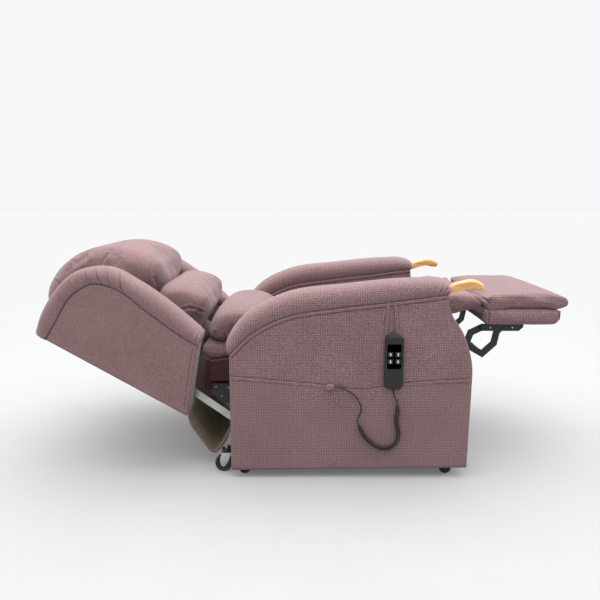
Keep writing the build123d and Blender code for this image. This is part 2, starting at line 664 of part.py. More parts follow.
FRONT_LINK = [FRONT_LINK_PIN, (569, 433), (560, 408), (545, 390)]
REAR_LINK = [REAR_LINK_PIN, (658, 435), (650, 394), (612, 358), (567, 384), (548, 395)]
REAR_TIE = (612, 358)
for name, points, shift in (("leg_link_front", FRONT_LINK, 0), ("leg_link_rear", REAR_LINK, LINK_STEP)):
    with BuildPart() as leg_link:
        for side in (-1, 1):
            middle = side * (LINK_Y - shift)
            with BuildSketch(side_view(middle + LINK_THICK / 2)):
                bar_face(points, LINK_WIDE)
                with Locations(points[0]):
                    Circle(LINK_PIN / 2 + RUNNING, mode=Mode.SUBTRACT)
            extrude(amount=LINK_THICK)
        if points is REAR_LINK:
            with BuildSketch(side_view(LINK_Y - shift)):
                with Locations(REAR_TIE):
                    Circle(7)
            extrude(amount=2 * (LINK_Y - shift))
    finish(leg_link.part, name)

# ---- handset, its strap and its cord -------------------------------------------------
hand_back = -(OUTER + POCKET_THICK + 0.5)
hand_front = hand_back - HANDSET_THICK
FACE_THICK = 2.5
FACE_BOX = (44.0, 78.0)
FACE_Z = 400.0
BUTTONS = {"button_back_up": (275, 407), "button_legs_up": (298, 407),
           "button_back_down": (275, 385), "button_legs_down": (298, 385)}

with BuildPart() as handset_body:
    with BuildSketch(side_view(hand_back)):
        with Locations((HANDSET_X, (HANDSET_LOW + HANDSET_TOP) / 2)):
            RectangleRounded(HANDSET_WIDE, HANDSET_TOP - HANDSET_LOW, 16)
    extrude(amount=HANDSET_THICK)
    fillet(handset_body.faces().sort_by(Axis.Y)[0].edges(), 3)
    with BuildSketch(side_view(hand_front)):
        with Locations((HANDSET_X, FACE_Z)):
            RectangleRounded(FACE_BOX[0], FACE_BOX[1], 5)
    extrude(amount=-FACE_THICK, mode=Mode.SUBTRACT)
    # wells behind the four keys
    with BuildSketch(side_view(hand_front + FACE_THICK)):
        with Locations(*BUTTONS.values()):
            Rectangle(BUTTON + 2 * BUTTON_GAP, BUTTON + 2 * BUTTON_GAP)
    extrude(amount=-3.5, mode=Mode.SUBTRACT)
finish(handset_body.part, "handset_body")

with BuildPart() as handset_face:
    with BuildSketch(side_view(hand_front + FACE_THICK)):
        with Locations((HANDSET_X, FACE_Z)):
            RectangleRounded(FACE_BOX[0] - 0.4, FACE_BOX[1] - 0.4, 4.8)
        with Locations(*BUTTONS.values()):
            Rectangle(BUTTON + 2 * BUTTON_GAP, BUTTON + 2 * BUTTON_GAP, mode=Mode.SUBTRACT)
    extrude(amount=FACE_THICK)
finish(handset_face.part, "handset_face")

for name, (x, z) in BUTTONS.items():
    with BuildPart() as key:
        with BuildSketch(side_view(hand_front + FACE_THICK + 1.5)):
            with Locations((x, z)):
                RectangleRounded(BUTTON, BUTTON, 3)
        extrude(amount=FACE_THICK + 1.5 + 1.5)
    finish(key.part, name)

with BuildPart() as handset_clip:
    with BuildSketch(side_view(hand_back + 0.3)):
        with Locations((HANDSET_X - 8, HANDSET_TOP + 5)):
            RectangleRounded(50, 10, 4)
    extrude(amount=6)
finish(handset_clip.part, "handset_clip")

with BuildPart() as handset_strap:
    with BuildSketch(side_view(-OUTER)):
        for top_x, low_x in ((268, 262), (286, 294)):
            face_of((top_x - 5, arm_level(74)), (top_x + 5, arm_level(73)), (low_x + 5, HANDSET_TOP + 1),
                    (low_x - 5, HANDSET_TOP + 1))
    extrude(amount=3)
finish(handset_strap.part, "handset_strap")

with BuildPart() as handset_gland:
    with Locations((288, CORD_Y, HANDSET_LOW)):
        Cone(3.4, 4.2, 10, align=(Align.CENTER, Align.CENTER, Align.MAX))
finish(handset_gland.part, "handset_gland")

# The cord hangs in one plane. Each list is a route in the side view; the curled stretch
# is one tube of the coil's own outside.
GLAND_END = (288, HANDSET_LOW - 10)
LEAD = [GLAND_END, (288, 273), (299, 259), (301, 243)]
CURL = [(301, 243), (303.9, 220), (297, 198), (303, 172), (308, 147), (303, 123), (285, 106),
        (259, 102), (232, 113), (211, 132), (193, 154), (183, 178)]
TAIL = [(183, 178), (177.2, 191.9), (181, 207), (189, 221), (190, 239), (182, 258), (167, 276),
        (147, 292), (124, 302), (100, 302)]


def corner_radii(points):
    """Radius at each corner: 0.45 of the shorter run, over the tangent of half the turn."""
    radii = []
    for a, b, c in zip(points, points[1:], points[2:]):
        first, second = Vector(*b) - Vector(*a), Vector(*c) - Vector(*b)
        turn = radians(first.get_angle(second))
        radii.append(0.45 * min(first.length, second.length) / tan(turn / 2))
    return radii


def cord_piece(points, diameter, name):
    """A tube along a route in the cord's plane."""
    radii = corner_radii(points)
    print(name, "radii", [round(r, 1) for r in radii])
    route = [(x, CORD_Y, z) for x, z in points]
    start = Vector(*route[1]) - Vector(*route[0])
    with BuildPart() as tube:
        with BuildLine() as run:
            FilletPolyline(*route, radius=radii)
        with BuildSketch(Plane(origin=route[0], z_dir=start)):
            Circle(diameter / 2)
        sweep(path=run.wire())
    print(name, "volume ratio", round(tube.part.volume / (pi * diameter ** 2 / 4 * run.wire().length), 4),
          "length", round(run.wire().length, 1))
    finish(tube.part, name)


cord_piece(LEAD, CORD_D, "handset_lead")
cord_piece(CURL, COIL_D, "handset_coil")
cord_piece(TAIL, CORD_D, "handset_tail")

with BuildPart() as cord_grommet:
    with Locations((TAIL[-1][0] - 8, -(OUTER + POCKET_THICK + 0.3), TAIL[-1][1])):
        Box(16, 13, 14, align=(Align.CENTER, Align.MAX, Align.CENTER))
    fillet(cord_grommet.edges().filter_by(Axis.Y), 3)
finish(cord_grommet.part, "cord_grommet")
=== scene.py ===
"""Looks of the lift recliner chair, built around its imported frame."""

import logging
import math
from collections.abc import Callable, Sequence
from dataclasses import dataclass, field
from enum import Enum

import bmesh
import bpy
import numpy as np
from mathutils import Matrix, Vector


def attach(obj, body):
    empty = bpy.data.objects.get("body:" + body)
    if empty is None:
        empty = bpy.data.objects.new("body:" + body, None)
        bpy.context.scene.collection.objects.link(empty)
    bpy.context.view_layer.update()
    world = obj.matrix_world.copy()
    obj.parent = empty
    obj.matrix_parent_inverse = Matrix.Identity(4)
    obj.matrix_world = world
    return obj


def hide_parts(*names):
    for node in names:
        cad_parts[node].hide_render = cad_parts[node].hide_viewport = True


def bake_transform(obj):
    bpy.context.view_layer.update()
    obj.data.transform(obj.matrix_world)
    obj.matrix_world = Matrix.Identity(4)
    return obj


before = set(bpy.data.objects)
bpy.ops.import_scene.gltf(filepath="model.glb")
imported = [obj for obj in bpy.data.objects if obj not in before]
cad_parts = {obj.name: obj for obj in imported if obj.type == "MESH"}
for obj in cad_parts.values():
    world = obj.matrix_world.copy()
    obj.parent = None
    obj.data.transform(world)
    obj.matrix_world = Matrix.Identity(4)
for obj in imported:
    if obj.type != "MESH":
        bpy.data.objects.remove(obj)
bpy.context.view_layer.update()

LOG = logging.getLogger("recliner")
MM = 0.001
Point = tuple[float, float]
Point3 = tuple[float, float, float]

# Sizes that several sub-assemblies share, in millimetres.
OUTER = 385.0          # outer face of a side panel, from the middle
ARM_INNER = 255.0      # seat-side face of an arm
SEAT_HALF = 243.0      # half width of seat and pillows
WING_OUT = 377.0       # outer face of a wing
WING_IN = 277.0        # inner face of a wing
TINY = 1e-9            # keeps a length from being zero when it divides
CLOTH_FRAMES = 20      # how long a cushion is blown up for


class Side(Enum):
    """The sitter's right is -Y, the left is +Y."""

    RIGHT = -1
    LEFT = 1

    @property
    def word(self) -> str:
        """The side's name in node names."""
        return self.name.lower()


SIDES = (Side.RIGHT, Side.LEFT)


# ---- materials -----------------------------------------------------------------------
def linear(hex_colour: str) -> tuple[float, float, float, float]:
    """Turn an sRGB hex colour to linear RGBA.

    Args:
        hex_colour: six hex digits, with or without a leading hash.

    Returns:
        Linear red, green, blue and an alpha of one.
    """
    digits = hex_colour.lstrip("#")
    channels = [int(digits[i:i + 2], 16) / 255 for i in (0, 2, 4)]
    return (*[c / 12.92 if c <= 0.04045 else ((c + 0.055) / 1.055) ** 2.4 for c in channels], 1.0)


def add_node(tree: bpy.types.NodeTree, kind: str, settings: dict | None = None,
             links: dict | None = None) -> bpy.types.Node:
    """Add a node with its settings and its input links.

    Args:
        tree: the tree that gets the node.
        kind: the node's type name.
        settings: attributes, or input values where the key is an input's name or index.
        links: input name or index to the output socket that feeds it.

    Returns:
        The new node.
    """
    node = tree.nodes.new(kind)
    for key, value in (settings or {}).items():
        if isinstance(key, str) and hasattr(node, key):
            setattr(node, key, value)
        else:
            node.inputs[key].default_value = value
    for key, socket in (links or {}).items():
        tree.links.new(socket, node.inputs[key])
    return node


def maths(tree: bpy.types.NodeTree, operation: str,
          *values: bpy.types.NodeSocket | float) -> bpy.types.NodeSocket:
    """Add a Math node.

    Args:
        tree: the tree that gets the node.
        operation: what it does.
        values: its inputs in order, each a socket or a number.

    Returns:
        The result's socket.
    """
    node = add_node(tree, "ShaderNodeMath", {"operation": operation})
    for socket, value in zip(node.inputs, values):
        if isinstance(value, bpy.types.NodeSocket):
            tree.links.new(value, socket)
        else:
            socket.default_value = value
    return node.outputs[0]


def ramp(tree: bpy.types.NodeTree, share: bpy.types.NodeSocket,
         *stops: tuple[float, str]) -> bpy.types.NodeSocket:
    """Add a colour ramp.

    Args:
        tree: the tree that gets the node.
        share: the socket that picks the colour.
        stops: place and hex colour of the low stop, the high stop and any between.

    Returns:
        The colour's socket.
    """
    node = add_node(tree, "ShaderNodeValToRGB", links={"Fac": share})
    elements = node.color_ramp.elements
    for number, (place, colour) in enumerate(stops):
        stop = elements[number] if number < 2 else elements.new(place)
        stop.position, stop.color = place, linear(colour)
    return node.outputs["Color"]


def set_values(node: bpy.types.Node, values: dict[str, float]) -> None:
    """Set inputs of a node by name."""
    for name, value in values.items():
        node.inputs[name].default_value = value


def new_material(name: str) -> tuple[bpy.types.Material, bpy.types.NodeTree, bpy.types.Node]:
    """Make an empty material with a Principled shader.

    Args:
        name: the material's name.

    Returns:
        The material, its tree and its shader.
    """
    material = bpy.data.materials.new(name)
    material.use_nodes = True
    tree = material.node_tree
    return material, tree, tree.nodes["Principled BSDF"]


@dataclass(frozen=True)
class WovenCloth:
    """Woven polyester upholstery, a plain weave of two yarn shades under a soft sheen.

    The real thread spacing is about 1.6 mm. It is drawn at 5 mm so that it shows.
    """

    name: str
    light: str = "#a28485"
    dark: str = "#70585a"
    gap: str = "#3f2d2e"
    thread: float = 5.2
    turn: float = 0.0
    relief: float = 0.55
    checker: float = 0.16

    def material(self) -> bpy.types.Material:
        """Build the cloth: threads from object coordinates, chosen by the face's own direction."""
        made, tree, shader = new_material(self.name)
        where = add_node(tree, "ShaderNodeTexCoord")
        turned = add_node(tree, "ShaderNodeMapping", {"Rotation": (0, math.radians(self.turn), 0)},
                          {"Vector": where.outputs["Object"]})
        facing = add_node(tree, "ShaderNodeMapping", {"Rotation": (0, math.radians(self.turn), 0)},
                          {"Vector": where.outputs["Normal"]})
        place = add_node(tree, "ShaderNodeSeparateXYZ", links={0: turned.outputs[0]})
        normal = add_node(tree, "ShaderNodeSeparateXYZ", links={0: facing.outputs[0]})
        count = math.pi / (self.thread * MM)
        waves = [self.wave(tree, place.outputs[axis], count) for axis in range(3)]
        weights = [maths(tree, "MULTIPLY", normal.outputs[axis], normal.outputs[axis]) for axis in range(3)]
        total = None
        for axis in range(3):
            first, second = waves[(axis + 1) % 3], waves[(axis + 2) % 3]
            cross = maths(tree, "MULTIPLY", first, second)
            grid = maths(tree, "MINIMUM", maths(tree, "ABSOLUTE", first), maths(tree, "ABSOLUTE", second))
            woven = maths(tree, "MULTIPLY_ADD", cross, self.checker, grid)
            part = maths(tree, "MULTIPLY", woven, weights[axis])
            total = part if total is None else maths(tree, "ADD", total, part)
        flecks = add_node(tree, "ShaderNodeTexNoise", {"Scale": 380.0, "Detail": 2.0, "Roughness": 0.6},
                          {"Vector": turned.outputs[0]})
        slubs = add_node(tree, "ShaderNodeTexNoise", {"Scale": 9.0, "Detail": 2.0},
                         {"Vector": turned.outputs[0]})
        threads = add_node(tree, "ShaderNodeMapRange", {"From Min": -0.05, "From Max": 0.9,
                                                        "To Max": 0.6}, {"Value": total})
        yarn = add_node(tree, "ShaderNodeMapRange", {"From Min": 0.36, "From Max": 0.64, "To Max": 0.4},
                        {"Value": flecks.outputs["Fac"]})
        mixed = maths(tree, "ADD", threads.outputs[0], yarn.outputs[0])
        shade = ramp(tree, mixed, (0.06, self.gap), (0.95, self.light), (0.46, self.dark))
        cloudy = add_node(tree, "ShaderNodeMapRange", {"From Min": 0.3, "From Max": 0.7,
                                                       "To Min": 0.94, "To Max": 1.06},
                          {"Value": slubs.outputs["Fac"]})
        varied = add_node(tree, "ShaderNodeHueSaturation",
                          links={"Color": shade, "Value": cloudy.outputs[0]})
        loose = add_node(tree, "ShaderNodeTexNoise", {"Scale": 7.0, "Detail": 1.0},
                         {"Vector": turned.outputs[0]})
        swells = add_node(tree, "ShaderNodeBump", {"Strength": 0.35, "Distance": 9.0 * MM},
                          {"Height": loose.outputs["Fac"]})
        bump = add_node(tree, "ShaderNodeBump", {"Strength": self.relief, "Distance": 0.6 * MM},
                        {"Height": mixed, "Normal": swells.outputs[0]})
        tree.links.new(varied.outputs[0], shader.inputs["Base Color"])
        tree.links.new(bump.outputs[0], shader.inputs["Normal"])
        set_values(shader, {"Roughness": 0.92, "Specular IOR Level": 0.25, "Sheen Weight": 0.18,
                            "Sheen Roughness": 0.45})
        return made

    @staticmethod
    def wave(tree: bpy.types.NodeTree, value: bpy.types.NodeSocket, count: float) -> bpy.types.NodeSocket:
        """Sine of a coordinate, one half turn for each thread.

        Args:
            tree: the material's tree.
            value: the coordinate in metres.
            count: radians for each metre.

        Returns:
            The wave's output socket.
        """
        return maths(tree, "SINE", maths(tree, "MULTIPLY", value, count))


@dataclass(frozen=True)
class Solid:
    """A hard finish: one colour with a fine grain, small wear and its own gloss."""

    name: str
    colour: str
    shade: str
    roughness: float
    metallic: float = 0.0
    grain: float = 900.0
    relief: float = 0.05
    stretch: Point3 = (1.0, 1.0, 1.0)

    def material(self) -> bpy.types.Material:
        """Build the finish from noise on object coordinates."""
        made, tree, shader = new_material(self.name)
        where = add_node(tree, "ShaderNodeTexCoord")
        run = add_node(tree, "ShaderNodeMapping", {"Scale": self.stretch},
                       {"Vector": where.outputs["Object"]})
        fine = add_node(tree, "ShaderNodeTexNoise", {"Scale": self.grain, "Detail": 4.0},
                        {"Vector": run.outputs[0]})
        broad = add_node(tree, "ShaderNodeTexNoise", {"Scale": 22.0, "Detail": 3.0},
                         {"Vector": run.outputs[0]})
        both = maths(tree, "MULTIPLY", fine.outputs["Fac"], broad.outputs["Fac"])
        colour = ramp(tree, both, (0.12, self.shade), (0.38, self.colour))
        rough = add_node(tree, "ShaderNodeMapRange", {"From Min": 0.3, "From Max": 0.7,
                                                      "To Min": self.roughness - 0.06,
                                                      "To Max": self.roughness + 0.08},
                         {"Value": broad.outputs["Fac"]})
        bump = add_node(tree, "ShaderNodeBump", {"Strength": self.relief, "Distance": 0.3 * MM},
                        {"Height": fine.outputs["Fac"]})
        tree.links.new(colour, shader.inputs["Base Color"])
        tree.links.new(rough.outputs[0], shader.inputs["Roughness"])
        tree.links.new(bump.outputs[0], shader.inputs["Normal"])
        set_values(shader, {"Metallic": self.metallic})
        return made


@dataclass(frozen=True)
class Beech:
    """Steamed beech under satin lacquer: orange tan with short dark flecks along the grain."""

    name: str = "Lacquered_beech"

    def material(self) -> bpy.types.Material:
        """Build the grain along the arm."""
        made, tree, shader = new_material(self.name)
        where = add_node(tree, "ShaderNodeTexCoord")
        run = add_node(tree, "ShaderNodeMapping", {"Scale": (6.0, 70.0, 70.0)},
                       {"Vector": where.outputs["Object"]})
        bands = add_node(tree, "ShaderNodeTexNoise", {"Scale": 2.2, "Detail": 5.0, "Distortion": 0.6},
                         {"Vector": run.outputs[0]})
        rays = add_node(tree, "ShaderNodeMapping", {"Scale": (160.0, 900.0, 900.0)},
                        {"Vector": where.outputs["Object"]})
        flecks = add_node(tree, "ShaderNodeTexNoise", {"Scale": 1.0, "Detail": 2.0},
                          {"Vector": rays.outputs[0]})
        grain = ramp(tree, bands.outputs["Fac"], (0.3, "#c98b4e"), (0.7, "#eab876"))
        fleck = add_node(tree, "ShaderNodeMapRange", {"From Min": 0.35, "From Max": 0.5, "To Min": 0.86},
                         {"Value": flecks.outputs["Fac"]})
        tone = add_node(tree, "ShaderNodeHueSaturation", links={"Color": grain, "Value": fleck.outputs[0]})
        tree.links.new(tone.outputs[0], shader.inputs["Base Color"])
        set_values(shader, {"Roughness": 0.38, "Coat Weight": 0.3, "Coat Roughness": 0.25})
        return made


@dataclass
class Palette:
    """Every finish on the chair, made once."""

    cloth: bpy.types.Material = field(init=False)
    back_cloth: bpy.types.Material = field(init=False)
    lining: bpy.types.Material = field(init=False)
    deck: bpy.types.Material = field(init=False)
    thread: bpy.types.Material = field(init=False)
    seam: bpy.types.Material = field(init=False)
    beech: bpy.types.Material = field(init=False)
    black_steel: bpy.types.Material = field(init=False)
    zinc: bpy.types.Material = field(init=False)
    chrome: bpy.types.Material = field(init=False)
    motor_case: bpy.types.Material = field(init=False)
    shell: bpy.types.Material = field(init=False)
    panel: bpy.types.Material = field(init=False)
    keys: bpy.types.Material = field(init=False)
    marks: bpy.types.Material = field(init=False)
    cord: bpy.types.Material = field(init=False)
    tyre: bpy.types.Material = field(init=False)
    hub: bpy.types.Material = field(init=False)

    def __post_init__(self) -> None:
        """Make the materials."""
        self.cloth = WovenCloth("Woven_polyester_mauve").material()
        self.back_cloth = WovenCloth("Woven_polyester_mauve_back", light="#9b7e7f", dark="#755c5d",
                                     gap="#513d3e", turn=-30.0).material()
        self.lining = WovenCloth("Cotton_twill_khaki_lining", "#9a8f6f", "#7d7254", "#5f563e",
                                 thread=4.0, relief=0.3).material()
        # painted shade: the mauve cover darkened to maroon stands for the shade on the seat deck and seat
        # box
        self.deck = WovenCloth("Woven_polyester_maroon_deck", "#5b3a39", "#472c2b", "#331f1e").material()
        self.thread = Solid("Polyester_sewing_thread", "#7b6062", "#5c4648", 0.8).material()
        # painted shade: a dark cloth colour that stands for the shaded valley of a sewn seam, where two
        # cloths turn in
        self.seam = Solid("Painted_seam_shade", "#5a4647", "#483738", 0.95).material()
        self.beech = Beech().material()
        # satin powder coat over welded steel: near black, slightly pebbled
        self.black_steel = Solid("Powder_coated_steel_black", "#1b1b1d", "#101011", 0.42,
                                 relief=0.25).material()
        # bright zinc plate: pale grey metal with a cloudy bloom
        self.zinc = Solid("Zinc_plated_steel", "#c9cccb", "#9a9d9c", 0.36, 1.0).material()
        self.chrome = Solid("Chromed_steel_rod", "#dddddd", "#c4c4c6", 0.12, 1.0).material()
        # glass filled nylon of the motor and power box: dull charcoal
        self.motor_case = Solid("Glass_filled_nylon", "#2b2c2e", "#1d1e20", 0.55, relief=0.3).material()
        # spark textured ABS of the handset
        self.shell = Solid("Textured_ABS_black", "#151516", "#0e0e0f", 0.55, relief=0.35,
                           grain=1600.0).material()
        self.panel = Solid("Polycarbonate_film_black", "#1c1d1e", "#161617", 0.3).material()
        self.keys = Solid("Silicone_rubber_keys", "#222324", "#19191a", 0.6).material()
        self.marks = Solid("Screen_printed_white_ink", "#e4e6e8", "#cfd2d4", 0.5).material()
        # PVC of the curled lead: black with a soft shine along each turn
        self.cord = Solid("PVC_cord_black", "#1b1c1d", "#131414", 0.38).material()
        self.tyre = Solid("Polyurethane_tyre_black", "#1a1a1b", "#101011", 0.5).material()
        self.hub = Solid("Moulded_nylon_hub", "#3a3b3d", "#2a2b2c", 0.45).material()


# ---- shapes --------------------------------------------------------------------------
def side_point(point: Point, y: float) -> Point3:
    """Place an (x, z) point of the side view at y, in metres."""
    return (point[0] * MM, y * MM, point[1] * MM)


def back_point(point: Point, y: float) -> Point3:
    """Place an (up the back, out of its rear face) point at y, in metres."""
    lean, (cx, cz) = math.radians(30.0), (-350.0, 197.0)
    up, out = point
    x = cx - up * math.cos(lean) + out * math.sin(lean)
    z = cz + up * math.sin(lean) + out * math.cos(lean)
    return (x * MM, y * MM, z * MM)


Placer = Callable[[Point, float], Point3]


def lengths_along(track: np.ndarray) -> np.ndarray:
    """How far along a line each of its points is, from zero."""
    return np.r_[0, np.cumsum(np.linalg.norm(np.diff(track, axis=0), axis=1))]


def unit(rows: np.ndarray) -> np.ndarray:
    """Scale each row to length one."""
    return rows / np.maximum(np.linalg.norm(rows, axis=1, keepdims=True), TINY)


def rounded_edge(low: float, high: float, across: float, steps: int) -> list[Point]:
    """Planes of y for a piece with quarter-round edges.

    Args:
        low: its lowest y.
        high: its highest y.
        across: how wide each round edge is.
        steps: planes in each edge.

    Returns:
        A y for each plane, with how far it has closed in: 1 at an end, 0 inside.
    """
    quarter = [math.pi / 2 * k / (steps - 1) for k in range(steps)]
    near = [(low + across * (1 - math.cos(angle)), 1 - math.sin(angle)) for angle in quarter]
    return near + [(low + high - y, drop) for y, drop in reversed(near)]


def grid_faces(across: int, along: int) -> list[tuple[int, int, int, int]]:
    """Number the faces of a sheet of points."""
    corners = [i * along + j for i in range(across - 1) for j in range(along - 1)]
    return [(a, a + 1, a + along + 1, a + along) for a in corners]


def linked(name: str, data: bpy.types.ID) -> bpy.types.Object:
    """Make an object of its data and put it in the scene."""
    made = bpy.data.objects.new(name, data)
    bpy.context.scene.collection.objects.link(made)
    return made


def evaluated(piece: bpy.types.Object) -> bpy.types.Mesh:
    """Read a piece with its modifiers as a new mesh."""
    graph = bpy.context.evaluated_depsgraph_get()
    return bpy.data.meshes.new_from_object(piece.evaluated_get(graph))


def smooth_path(points: Sequence[Point], count: int, closed: bool = False) -> np.ndarray:
    """Sample a smooth curve through points, evenly by length.

    Args:
        points: two or more points.
        count: how many samples come back.
        closed: whether the curve returns to its start.

    Returns:
        An array of samples, one row each.
    """
    keys = np.array(points, float)
    if closed:
        keys = np.vstack([keys, keys[0]])
    gaps = np.maximum(np.linalg.norm(np.diff(keys, axis=0), axis=1), TINY)[:, None]
    slopes = np.diff(keys, axis=0) / gaps
    inner = (slopes[:-1] * gaps[1:] + slopes[1:] * gaps[:-1]) / (gaps[:-1] + gaps[1:])
    if closed:
        joint = (slopes[-1] * gaps[0] + slopes[0] * gaps[-1]) / (gaps[0] + gaps[-1])
        tangents = np.vstack([joint, inner, joint])
    else:
        tangents = np.vstack([slopes[0], inner, slopes[-1]])
    dense = []
    t = np.linspace(0, 1, 40, endpoint=False)[:, None]
    for k, gap in enumerate(gaps):
        dense.append((2 * t ** 3 - 3 * t ** 2 + 1) * keys[k] + (t ** 3 - 2 * t ** 2 + t) * gap * tangents[k]
                     + (3 * t ** 2 - 2 * t ** 3) * keys[k + 1] + (t ** 3 - t ** 2) * gap * tangents[k + 1])
    dense.append(keys[-1:])
    track = np.vstack(dense)
    steps = lengths_along(track)
    wanted = np.linspace(0, steps[-1], count + (1 if closed else 0))
    if closed:
        wanted = wanted[:-1]
    return np.stack([np.interp(wanted, steps, track[:, k]) for k in range(track.shape[1])], axis=1)


def straight_path(points: Sequence[Point], spacing: float) -> np.ndarray:
    """Sample straight runs between points, ends included.

    Args:
        points: the corners.
        spacing: the largest step.

    Returns:
        An array of samples.
    """
    rows = []
    for a, b in zip(points, points[1:]):
        a, b = np.array(a, float), np.array(b, float)
        steps = max(1, int(np.linalg.norm(b - a) / spacing))
        rows += [a + (b - a) * k / steps for k in range(steps)]
    rows.append(np.array(points[-1], float))
    return np.array(rows)


def inset(loop: np.ndarray, distance: float) -> np.ndarray:
    """Move a closed loop inwards along its corner normals.

    Args:
        loop: points of the loop.
        distance: how far, in the loop's units.

    Returns:
        The moved loop.
    """
    after = np.roll(loop, -1, axis=0)
    run = unit(after - loop)
    normal = np.stack([-run[:, 1], run[:, 0]], axis=1)
    bisector = unit(normal + np.roll(normal, 1, axis=0))
    reach = 1 / np.maximum(np.sum(bisector * normal, axis=1, keepdims=True), 0.45)
    area = 0.5 * np.sum(loop[:, 0] * after[:, 1] - after[:, 0] * loop[:, 1])
    return loop + bisector * reach * distance * (1 if area > 0 else -1)


def cleared(loop: np.ndarray, reach: float) -> np.ndarray:
    """Drop points that crowd a sharp corner, so that an inset doesn't cross itself.

    Args:
        loop: points of a closed loop.
        reach: the least distance from a corner to its next point.

    Returns:
        The loop with its corners and its spaced points.
    """
    before, after = np.roll(loop, 1, axis=0), np.roll(loop, -1, axis=0)
    a, b = loop - before, after - loop
    lengths = np.linalg.norm(a, axis=1) * np.linalg.norm(b, axis=1)
    turn = np.sum(a * b, axis=1) / np.maximum(lengths, TINY)
    corners = np.where(turn < math.cos(math.radians(25.0)))[0]
    if not len(corners):
        return loop
    away = np.min(np.linalg.norm(loop[:, None, :] - loop[None, corners, :], axis=2), axis=1)
    stays = away >= reach
    stays[corners] = True
    return loop[stays]


def mesh_piece(name: str, points: Sequence[Point3], faces: Sequence[Sequence[int]],
               material: bpy.types.Material) -> bpy.types.Object:
    """Make a mesh object with outward faces and one material.

    Args:
        name: the piece's name.
        points: places in metres.
        faces: rings of point numbers.
        material: its finish.

    Returns:
        The new object, linked and smooth shaded.
    """
    mesh = bpy.data.meshes.new(name)
    mesh.from_pydata([tuple(map(float, p)) for p in points], [], faces)
    work = bmesh.new()
    work.from_mesh(mesh)
    bmesh.ops.remove_doubles(work, verts=work.verts, dist=1e-6)
    bmesh.ops.recalc_face_normals(work, faces=work.faces)
    work.to_mesh(mesh)
    work.free()
    mesh.shade_smooth()
    for face in mesh.polygons:
        if len(face.vertices) > 4:      # a flat end stays flat
            face.use_smooth = False
    mesh.materials.append(material)
    return linked(name, mesh)


def bake_modifiers(piece: bpy.types.Object) -> None:
    """Turn a piece's modifiers into its mesh."""
    mesh = evaluated(piece)
    piece.modifiers.clear()
    piece.data = mesh
    mesh.shade_smooth()


def loft(name: str, rings: Sequence[Sequence[Point3]], material: bpy.types.Material) -> bpy.types.Object:
    """Skin a closed tube of rings and fill its ends.

    Args:
        name: the piece's name.
        rings: closed rings with the same count of points.
        material: its finish.

    Returns:
        The new piece.
    """
    size = len(rings[0])
    points = [p for ring in rings for p in ring]
    faces = [(r * size + k, r * size + (k + 1) % size, (r + 1) * size + (k + 1) % size,
              (r + 1) * size + k) for r in range(len(rings) - 1) for k in range(size)]
    faces += [list(range(size)), list(range((len(rings) - 1) * size, len(rings) * size))]
    return mesh_piece(name, points, faces, material)


@dataclass
class Crease:
    """A sewn or gathered line that pulls cloth in, from start to end, in metres.

    A crease with a belt is read in the side view alone, and fades out over the belt's width
    of y, in millimetres, from its start.
    """

    start: Point3
    end: Point3
    depth: float = 5.0
    width: float = 5.0
    belt: float = 0.0


def press_creases(piece: bpy.types.Object, creases: Sequence[Crease]) -> None:
    """Push a mesh in along lines, with a small swell beside each.

    Args:
        piece: the mesh object.
        creases: the lines, with depth and width in millimetres.
    """
    if not creases:
        return
    mesh = piece.data
    count = len(mesh.vertices)
    places, normals = np.zeros(count * 3), np.zeros(count * 3)
    mesh.vertices.foreach_get("co", places)
    mesh.vertices.foreach_get("normal", normals)
    places, normals = places.reshape(-1, 3), normals.reshape(-1, 3)
    push = np.zeros(count)
    for crease in creases:
        a, b = np.array(crease.start), np.array(crease.end)
        seen = np.array([1.0, 0.0 if crease.belt else 1.0, 1.0])
        run = (b - a) * seen
        gap = (places - a) * seen
        along = np.clip((gap @ run) / (run @ run), 0, 1)
        away = np.linalg.norm(gap - along[:, None] * run, axis=1) / (crease.width * MM)
        fade = np.sin(np.pi * (0.5 + 0.5 * along)) * 0.8 + 0.2
        if crease.belt:
            fade *= np.clip(1.5 - np.abs(places[:, 1] - a[1]) / (crease.belt * MM), 0, 1)
        push += crease.depth * MM * fade * (0.3 * np.exp(-((away - 2.0) ** 2)) - np.exp(-away ** 2))
    mesh.vertices.foreach_set("co", (places + normals * push[:, None]).ravel())
    mesh.update()


